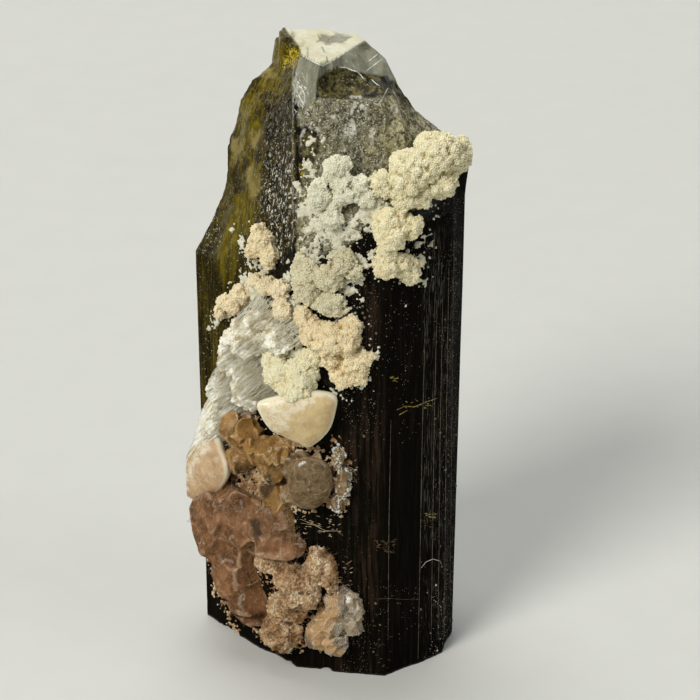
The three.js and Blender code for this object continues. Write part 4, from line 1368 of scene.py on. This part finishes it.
def ribbon(tree, line, half_width, lift=0.012, depth=0.05):
    """A thin raised thread on a surface, along a line of pixels, that thins out at both ends."""
    line = np.array(line, float)
    lengths = np.concatenate([[0], np.cumsum(np.linalg.norm(np.diff(line, axis=0), axis=1))])
    steps = max(3, int(lengths[-1] / RIBBON_STEP))
    rings = []
    for along in np.linspace(0, lengths[-1], steps):
        x, y = (np.interp(along, lengths, line[:, k]) for k in range(2))
        place, normal, _, _ = tree.ray_cast(Vector(VIEW_FROM), Vector(sight_line(x, y)))
        if place is None:
            continue
        rings.append((np.array(place), np.array(normal), along / lengths[-1]))
    if len(rings) < 3:
        return None
    points = []
    for k, (place, normal, share) in enumerate(rings):
        ahead = rings[min(k + 1, len(rings) - 1)][0] - rings[max(k - 1, 0)][0]
        side = np.cross(ahead, normal)
        side /= np.linalg.norm(side) + 1e-9
        width = half_width * (0.25 + 0.75 * math.sin(math.pi * share) ** 0.5)
        points += [place + width * side, place + lift * normal, place - width * side, place - depth * normal]
    triangles = []
    for k in range(len(rings) - 1):
        for j in range(4):
            a, b = 4 * k + j, 4 * k + (j + 1) % 4
            triangles += [(a, b, b + 4), (a, b + 4, a + 4)]
    last = 4 * (len(rings) - 1)
    triangles += [(0, 2, 1), (0, 3, 2), (last, last + 1, last + 2), (last, last + 2, last + 3)]
    return outward(np.array(points), np.array(triangles))


def outward(points, triangles):
    """The form with its faces turned outwards."""
    a, b, c = (points[triangles[:, k]] - points.mean(axis=0) for k in range(3))
    if np.einsum("ij,ij->i", a, np.cross(b, c)).sum() < 0:
        triangles = triangles[:, ::-1]
    return points, triangles


# Distance between a ribbon's rings, in pixels
RIBBON_STEP = 0.8


def pebble(outline, tree, out, front, back, rings=16, per_side=10):
    """A rounded stone that shows as an outline, whose crown touches the surface that the tree holds."""
    curve = smooth_outline(outline, per_side)
    middle = curve.mean(axis=0)
    hit = tree.ray_cast(Vector(VIEW_FROM), Vector(sight_line(*middle)))[0]
    if hit is None:
        raise RuntimeError("a stone's middle misses its node")
    anchor = np.array(hit) - out * front

    def on_plane(x, y):
        line = sight_line(x, y)
        return VIEW_FROM + line * (((anchor - VIEW_FROM) @ out) / (line @ out))

    border = np.array([on_plane(x, y) for x, y in curve])
    centre = border.mean(axis=0)
    levels = np.sin(np.linspace(0, math.pi / 2, rings + 1))[1:]
    points, rims = [centre + out * front], [0.0]
    count = len(border)
    for side, bulge in ((1, front), (-1, back)):
        shares = levels if side > 0 else levels[:-1][::-1]
        for share in shares:
            rise = bulge * (1 - share ** 2.0) ** 0.5
            points += list(centre + share * (border - centre) + side * rise * out)
            rims += [share] * count
    points.append(centre - out * back)
    rims.append(0.0)
    points, rims = np.array(points), np.array(rims)
    total = (len(points) - 2) // count
    triangles = []
    for j in range(count):
        k = (j + 1) % count
        triangles.append((0, 1 + j, 1 + k))
        for i in range(total - 1):
            a, b = 1 + i * count + j, 1 + i * count + k
            triangles += [(a, a + count, b + count), (a, b + count, b)]
        a, b = 1 + (total - 1) * count + j, 1 + (total - 1) * count + k
        triangles.append((a, len(points) - 1, b))
    return (*outward(points, np.array(triangles)), rims)


LENS = [(258, 403), (278, 396), (300, 392), (320, 391), (336, 396), (336, 410), (329, 430), (311, 446),
        (297, 442), (284, 436), (271, 430), (261, 416)]
FINGER = [(181, 484), (184, 472), (192, 452), (203, 438), (216, 434), (223, 452), (228, 468), (226, 481),
          (215, 495), (200, 500), (188, 496)]
CLEAR_GRAIN = [(289, 474), (295, 462), (308, 457), (322, 460), (331, 470), (332, 488), (324, 502), (310, 509),
               (296, 504), (288, 490)]
TAN_LOBE = [(254, 545), (262, 534), (280, 530), (298, 533), (308, 543), (300, 554), (280, 558), (262, 556)]
TAN_COLUMN = [(262, 486), (276, 480), (294, 484), (302, 500), (302, 522), (296, 538), (276, 541), (264, 532),
              (266, 512)]
SMOKY_DOME = [(194, 496), (206, 489), (228, 486), (248, 492), (262, 506), (266, 530), (258, 550), (244, 566),
              (226, 574), (209, 557), (199, 530)]
GLASSY_SHARD = [(303, 566), (312, 560), (320, 568), (321, 590), (316, 602), (306, 598)]
FOOT_KNOB = [(341, 598), (350, 590), (360, 598), (363, 615), (357, 630), (346, 632), (339, 618)]
FOOT_TONGUE = [(322, 640), (334, 632), (347, 634), (348, 645), (340, 655), (328, 654)]


def facet_cut(points, triangles, size, tilt, seed):
    """A skin cut into flats: each patch about `size` millimetres across becomes a plane, tilted at random."""
    normals = corner_normals(points, triangles)
    corner = np.floor(points / size)
    nearest = np.full(len(points), np.inf)
    chosen = np.zeros_like(points)
    for step in itertools.product((-1, 0, 1), repeat=3):
        cell = corner + step
        jitter = np.stack([lattice(cell, seed + k) for k in range(3)], axis=1)
        distance = np.linalg.norm((cell + jitter) * size - points, axis=1)
        nearer = distance < nearest
        nearest[nearer] = distance[nearer]
        chosen[nearer] = cell[nearer]
    patch = np.unique(chosen, axis=0, return_inverse=True)[1].ravel()
    share = np.bincount(patch)

    def patch_mean(values):
        return np.stack([np.bincount(patch, column) / share for column in values.T], axis=1)

    middles, ways = patch_mean(points), patch_mean(normals)
    ways += tilt * np.random.default_rng(seed).normal(size=ways.shape)
    ways /= np.linalg.norm(ways, axis=1, keepdims=True) + 1e-9
    middles, ways = middles[patch], ways[patch]
    reach = ((middles - points) * ways).sum(axis=1) / np.maximum((normals * ways).sum(axis=1), 0.35)
    return points + np.clip(reach, -0.2 * size, 0.2 * size)[:, None] * normals


def glassy_skin(node, stones, size, tilt, rounds, cell, seed):
    """A node's lumps and the stones on them fused into one skin, cut into flats and marked."""
    points, triangles = node_form(node)
    core = (points - GLASS_INSET * corner_normals(points, triangles), triangles)
    points, triangles = fused(joined([core, moved_in(core, CORE_DEPTH), *stones]), cell)
    points = relaxed(points, triangles, 6)
    points = relaxed(facet_cut(points, triangles, size, tilt, seed), triangles, rounds)
    points = points + (0.03 * rough(points, 0.4, 3, seed))[:, None] * corner_normals(points, triangles)
    fibrous = 0.7 + 0.5 * streaked(points, SILKY_WAY, (0.9, 0.1, 0.15), seed)
    hazy = ramp(noise(points, 1.1, seed + 3), -0.1, 0.6) * fibrous
    at = seen_at(points)
    edge = 3 * noise(points, 0.35, seed + 1)
    marks = {
        "crease": creases(points, triangles, 16), "pit": creases(points, triangles, 3),
        # hollow: the cavities, where near-black painted shade goes
        "hollow": np.maximum.reduce([within(at, area, 3, edge) for area in CAVITIES]),
        "warm": within(at, FOOT_WARM, 4, edge), "veil": 0.55 * hazy,
    }
    return (points, triangles), marks


def stone(name, outline, tree, out, front, back, material, nodes=(), seed=1, veil=()):
    """A rounded stone with its rim marked, whose crown touches the surface that the tree holds."""
    points, triangles, rims = pebble(outline, tree, out, front, back, rings=28, per_side=16)
    points = points + (0.05 * rough(points, 0.8, 4, seed))[:, None] * out
    # rim: where a painted highlight goes along the stone's edge
    marks = {"rim": ramp(rims, 0.88, 1.0) * ramp(rims, 0.5, 0.9), "crease": np.full(len(points), -1.0)}
    if veil:
        marks["veil"] = within(seen_at(points), veil, 5, 4 * noise(points, 0.4, seed))
    finished(name, (points, triangles), material, nodes, marks, sharp=50)


# The glassy skins: node, slot, stones, width and tilt of the flats, rounds of smoothing, and cell
GLASSY_SKINS = [
    ("tan_quartz", "smoky_quartz", [(TAN_COLUMN, FRONT, 0.5, 0.7)], 1.0, 0.2, 3, 0.05),
    ("smoky_quartz", "smoky_quartz",
     [(SMOKY_DOME, FLANK, 0.9, 1.2), (TAN_LOBE, FRONT, 0.4, 0.5)], 1.5, 0.08, 16, 0.06),
    ("clear_quartz", "milky_quartz", [], 0.5, 0.3, 2, 0.05),
    ("foot_quartz", "milky_quartz",
     [(FOOT_KNOB, FRONT, 0.45, 0.5), (FOOT_TONGUE, FRONT, 0.35, 0.4), (GLASSY_SHARD, FRONT, 0.4, 0.5)],
     0.45, 0.3, 2, 0.045),
]
# The skins with white grains on them: how dense, the largest's half width, and where, if not everywhere
FROSTED = {"clear_quartz": (1.0, 0.10, FROST), "foot_quartz": (0.9, 0.045, ())}

LOWER_NODES = ("tan_quartz", "smoky_quartz", "clear_quartz", "sandy_feldspar", "foot_quartz")


def frosted(form, marks, crowding, largest, area):
    """A glassy skin with white grains on it."""
    points = form[0]
    frost = within(seen_at(points), area, 4, 3 * noise(points, 0.3, 171)) if area else 1.0
    density = crowding * frost * ramp(noise(points, 0.35, 173), -0.3, 0.4)
    return sugar_coated(form, marks, 0.1, 0.02, largest, 175, density)


def make_quartz():
    """The quartz: lens, finger lobe, clear grain, tan shards, smoky mass and foot."""
    lower = surface_tree(joined([node_form(node) for node in LOWER_NODES]))
    for seed, (node, slot, stones, size, tilt, rounds, cell) in enumerate(GLASSY_SKINS):
        lumps = [pebble(outline, lower, out, front, back)[:2] for outline, out, front, back in stones]
        form, marks = glassy_skin(node, lumps, size, tilt, rounds, cell, 70 + 10 * seed)
        if node in FROSTED:
            form, marks = frosted(form, marks, *FROSTED[node])
        finished(node + "_skin", form, quartz_finish(node + "_finish"), [node], marks, sharp=40)
    lens_tree, finger_tree = (surface_tree(node_form(node)) for node in ("lens_quartz", "finger_quartz"))
    milky, pink = quartz_finish("milky_quartz"), quartz_finish("finger_quartz_finish")
    clear = glass_finish("clear_grain_finish", (0.80, 0.66, 0.46))
    stone("lens", LENS, lens_tree, FRONT, 0.6, 0.8, milky, ["lens_quartz"], 61, LENS_VEIL)
    stone("finger_lobe", FINGER, finger_tree, FLANK, 0.5, 0.8, pink, ["finger_quartz"], 63, FINGER_VEIL)
    stone("clear_grain", CLEAR_GRAIN, lower, FRONT, 0.55, 0.5, clear, seed=65)


def sandy_finish():
    """Sandy cream to orange crust with white grains, and painted shade that makes its creases into dark pits.
    """
    look = Finish("sandy")
    cloud = look.grain(0.8, 3, 0.65)
    sand = look.grain(0.11, 3, 0.7)
    base = look.node("ShaderNodeValToRGB", {"stops": [
        (0.35, (0.10, 0.05, 0.02)), (0.45, (0.34, 0.18, 0.07)), (0.55, (0.54, 0.36, 0.19)),
        (0.65, (0.86, 0.72, 0.50))]}, {"Fac": cloud * 0.55 + sand * 0.45})
    # Painted shade in the creases
    base = look.mix(look.between(look.mark("crease"), 0.0, 0.8) * 0.85, base, (0.09, 0.045, 0.02))
    base = look.mix(look.mark("sugar") * look.between(cloud, 0.4, 0.6), base, (0.80, 0.69, 0.48))
    normal = look.bump(sand, 0.04, 0.8)
    return look.surface(base_color=base, roughness=0.6, normal=normal)


def make_sandy():
    """The sandy crust with its tufts."""
    material = sandy_finish()
    skin = crystal_grown("sandy_feldspar", bpy.context.scene.feldspar_finish.cell, 0.15, 0.08)
    form, marks = sugared(skin, 400, 0.06)
    coated, both = sugar_coated(form, marks, 0.1, 0.02, 0.07, 403, ramp(noise(form[0], 0.5, 405), -0.2, 0.4))
    finished("sandy_crust", coated, material, ["sandy_feldspar"], both, sharp=40)
    whole = joined([form, finished_form("tan_quartz_skin"), finished_form("smoky_quartz_skin")])
    points = whole[0]
    at = seen_at(points)
    patches = 0.8 * ramp(noise(points, 0.7, 81), 0.0, 0.5)
    patches = np.maximum(patches, np.maximum.reduce([within(at, area, 4) for area in TUFTS]))
    patches[:len(form[0])] = np.maximum(patches[:len(form[0])], 0.3)
    tufts = grown(whole, bpy.data.node_groups["laid_fibres"], {
        "Spacing": 0.10, "Length": 0.55, "Thickness": 0.011, "Direction": (0.2, -0.5, 0.9), "Spread": 0.9,
        "Wave": 0.4, "Seed": 6}, density=ramp(facing_viewer(whole), -0.2, 0.2) * patches, material=material)
    finished("sandy_tufts", tufts, material)


# The floor's half width, the distance and height of its back, and the radius of the bend, in metres
FLOOR = (0.6, 0.45, 0.5, 0.2)
# The black card's left, right, near and far edges and its height, in millimetres
SHADE_CARD = (-150.0, 150.0, -200.0, 90.0, 0.1)
# The lamps: name, place and width in metres, and colour
LAMPS = [
    ("key", (-0.50, -0.62, 0.66), 0.45, (1.0, 0.985, 0.95)),
    ("fill", (0.7, -0.25, 0.5), 0.5, (0.95, 0.97, 1.0)),
    ("top", (-0.05, 0.22, 0.8), 0.5, (1.0, 1.0, 1.0)),
]
# Where the lamps point, in metres
AIM = Vector((0.0, 0.0, 0.016))


def make_floor(settings):
    """A pale floor that bends up behind the crystal."""
    width, back, rise, turn = FLOOR
    bend = [(turn * math.sin(a), turn * math.cos(a)) for a in np.linspace(0, math.pi / 2, 16)]
    profile = [(-width, 0.0), *((back - turn + y, turn - z) for y, z in bend), (back, rise)]
    points = [(x, y, z) for y, z in profile for x in (-width, width)]
    faces = [(2 * k, 2 * k + 1, 2 * k + 3, 2 * k + 2) for k in range(len(profile) - 1)]
    mesh = as_mesh("floor", np.array(points), faces)
    look = Finish("floor")
    darker = tuple(0.985 * part for part in settings.floor)
    base = look.mix(look.between(look.grain(3.0, 2, 0.5), 0.3, 0.7), settings.floor, darker)
    mesh.materials.append(look.surface(base_color=base, roughness=0.9, specular_ior_level=0.1))
    mesh.polygons.foreach_set("use_smooth", np.ones(len(mesh.polygons), bool))
    floor = bpy.data.objects.new("floor", mesh)
    bpy.context.scene.collection.objects.link(floor)


def make_card():
    """A black card, seen only in reflections, that keeps the pale floor out of the glossy prism's front."""
    left, right, near, far, lift = SHADE_CARD
    points = [(left, far, lift), (right, far, lift), (right, near, lift), (left, near, lift)]
    mesh = as_mesh("shade_card", np.array(points) * MM, [(0, 3, 2, 1)])
    mesh.materials.append(Finish("shade_card").surface(base_color=(0.01, 0.01, 0.01), roughness=1.0))
    card = bpy.data.objects.new("shade_card", mesh)
    card.visible_camera = False
    card.visible_diffuse = False
    card.visible_shadow = False
    card.visible_transmission = False
    bpy.context.scene.collection.objects.link(card)


def make_lights(settings):
    """A dim room and three soft lamps."""
    world = bpy.data.worlds.new("soft_room")
    world.use_nodes = True
    backdrop = world.node_tree.nodes["Background"]
    backdrop.inputs["Color"].default_value = (0.95, 0.97, 1.0, 1.0)
    backdrop.inputs["Strength"].default_value = settings.room
    bpy.context.scene.world = world
    powers = (settings.key_power, settings.fill_power, settings.top_power)
    for (name, place, size, tint), power in zip(LAMPS, powers):
        light = bpy.data.lights.new(name, "AREA")
        light.shape = "DISK"
        light.size = size
        light.energy = power
        light.color = tint
        lamp = bpy.data.objects.new(name, light)
        lamp.location = place
        lamp.rotation_euler = (AIM - Vector(place)).to_track_quat("-Z", "Y").to_euler()
        bpy.context.scene.collection.objects.link(lamp)


def make_camera():
    """The camera at the photograph's angle."""
    camera = bpy.data.cameras.new("camera")
    camera.sensor_width = SENSOR_MM
    camera.lens = FOCAL_PIXELS / FRAME_PIXELS * SENSOR_MM
    camera.clip_start = 0.005
    eye = bpy.data.objects.new("camera", camera)
    eye.location = VIEW_FROM * MM
    eye.rotation_euler = (math.pi / 2 - VIEW_ELEVATION, 0, 0)
    bpy.context.scene.collection.objects.link(eye)
    bpy.context.scene.camera = eye


def make_stage():
    """Pale floor, black card, soft lights and the camera."""
    settings = bpy.context.scene.stage_finish
    bpy.context.scene.view_settings.view_transform = "Standard"
    make_floor(settings)
    make_card()
    make_lights(settings)
    make_camera()


class CRYSTAL_OT_stage(Operator):
    """Make the floor, the card, the lights and the camera"""
    bl_idname = "crystal.stage"
    bl_label = "Stage"

    def execute(self, context):
        make_stage()
        return {"FINISHED"}


class CRYSTAL_OT_tourmaline(Operator):
    """Make the tourmaline's grooved and broken surface"""
    bl_idname = "crystal.tourmaline"
    bl_label = "Tourmaline"

    def execute(self, context):
        make_crystal()
        return {"FINISHED"}


class CRYSTAL_OT_feldspar(Operator):
    """Make the feldspar clusters"""
    bl_idname = "crystal.feldspar"
    bl_label = "Feldspar"

    def execute(self, context):
        make_feldspar()
        return {"FINISHED"}


class CRYSTAL_OT_crusts(Operator):
    """Make the granular crusts and the loose crumbs"""
    bl_idname = "crystal.crusts"
    bl_label = "Granular crusts"

    def execute(self, context):
        make_crusts()
        return {"FINISHED"}


class CRYSTAL_OT_silky(Operator):
    """Make the silky crust and its fibres"""
    bl_idname = "crystal.silky"
    bl_label = "Silky crust"

    def execute(self, context):
        make_silky()
        return {"FINISHED"}


class CRYSTAL_OT_quartz(Operator):
    """Make the quartz stones"""
    bl_idname = "crystal.quartz"
    bl_label = "Quartz"

    def execute(self, context):
        make_quartz()
        return {"FINISHED"}


class CRYSTAL_OT_sandy(Operator):
    """Make the sandy crust and its tufts"""
    bl_idname = "crystal.sandy"
    bl_label = "Sandy crust"

    def execute(self, context):
        make_sandy()
        return {"FINISHED"}


SETTINGS = {
    "crystal_finish": CrystalSettings, "feldspar_finish": FeldsparSettings,
    "fibre_finish": FibreSettings, "stage_finish": StageSettings,
}
OPERATORS = (
    CRYSTAL_OT_stage, CRYSTAL_OT_tourmaline, CRYSTAL_OT_feldspar, CRYSTAL_OT_crusts, CRYSTAL_OT_silky,
    CRYSTAL_OT_quartz, CRYSTAL_OT_sandy,
)


class CRYSTAL_PT_finish(Panel):
    """Everything that finishes the crystal"""
    bl_idname = "CRYSTAL_PT_finish"
    bl_label = "Crystal"
    bl_space_type = "VIEW_3D"
    bl_region_type = "UI"
    bl_category = "Crystal"

    def draw(self, context):
        for operator in OPERATORS:
            self.layout.operator(operator.bl_idname)
        for name, group in SETTINGS.items():
            for label in group.__annotations__:
                self.layout.prop(getattr(context.scene, name), label)


CLASSES = (*SETTINGS.values(), *OPERATORS, CRYSTAL_PT_finish)


def register():
    for cls in CLASSES:
        bpy.utils.register_class(cls)
    for name, group in SETTINGS.items():
        setattr(bpy.types.Scene, name, PointerProperty(type=group))


def unregister():
    for name in SETTINGS:
        delattr(bpy.types.Scene, name)
    for cls in reversed(CLASSES):
        bpy.utils.unregister_class(cls)


def main():
    """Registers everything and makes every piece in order."""
    register()
    bpy.ops.crystal.stage()
    bpy.ops.crystal.tourmaline()
    bpy.ops.crystal.feldspar()
    bpy.ops.crystal.crusts()
    bpy.ops.crystal.silky()
    bpy.ops.crystal.quartz()
    bpy.ops.crystal.sandy()


if __name__ == "__main__":
    main()
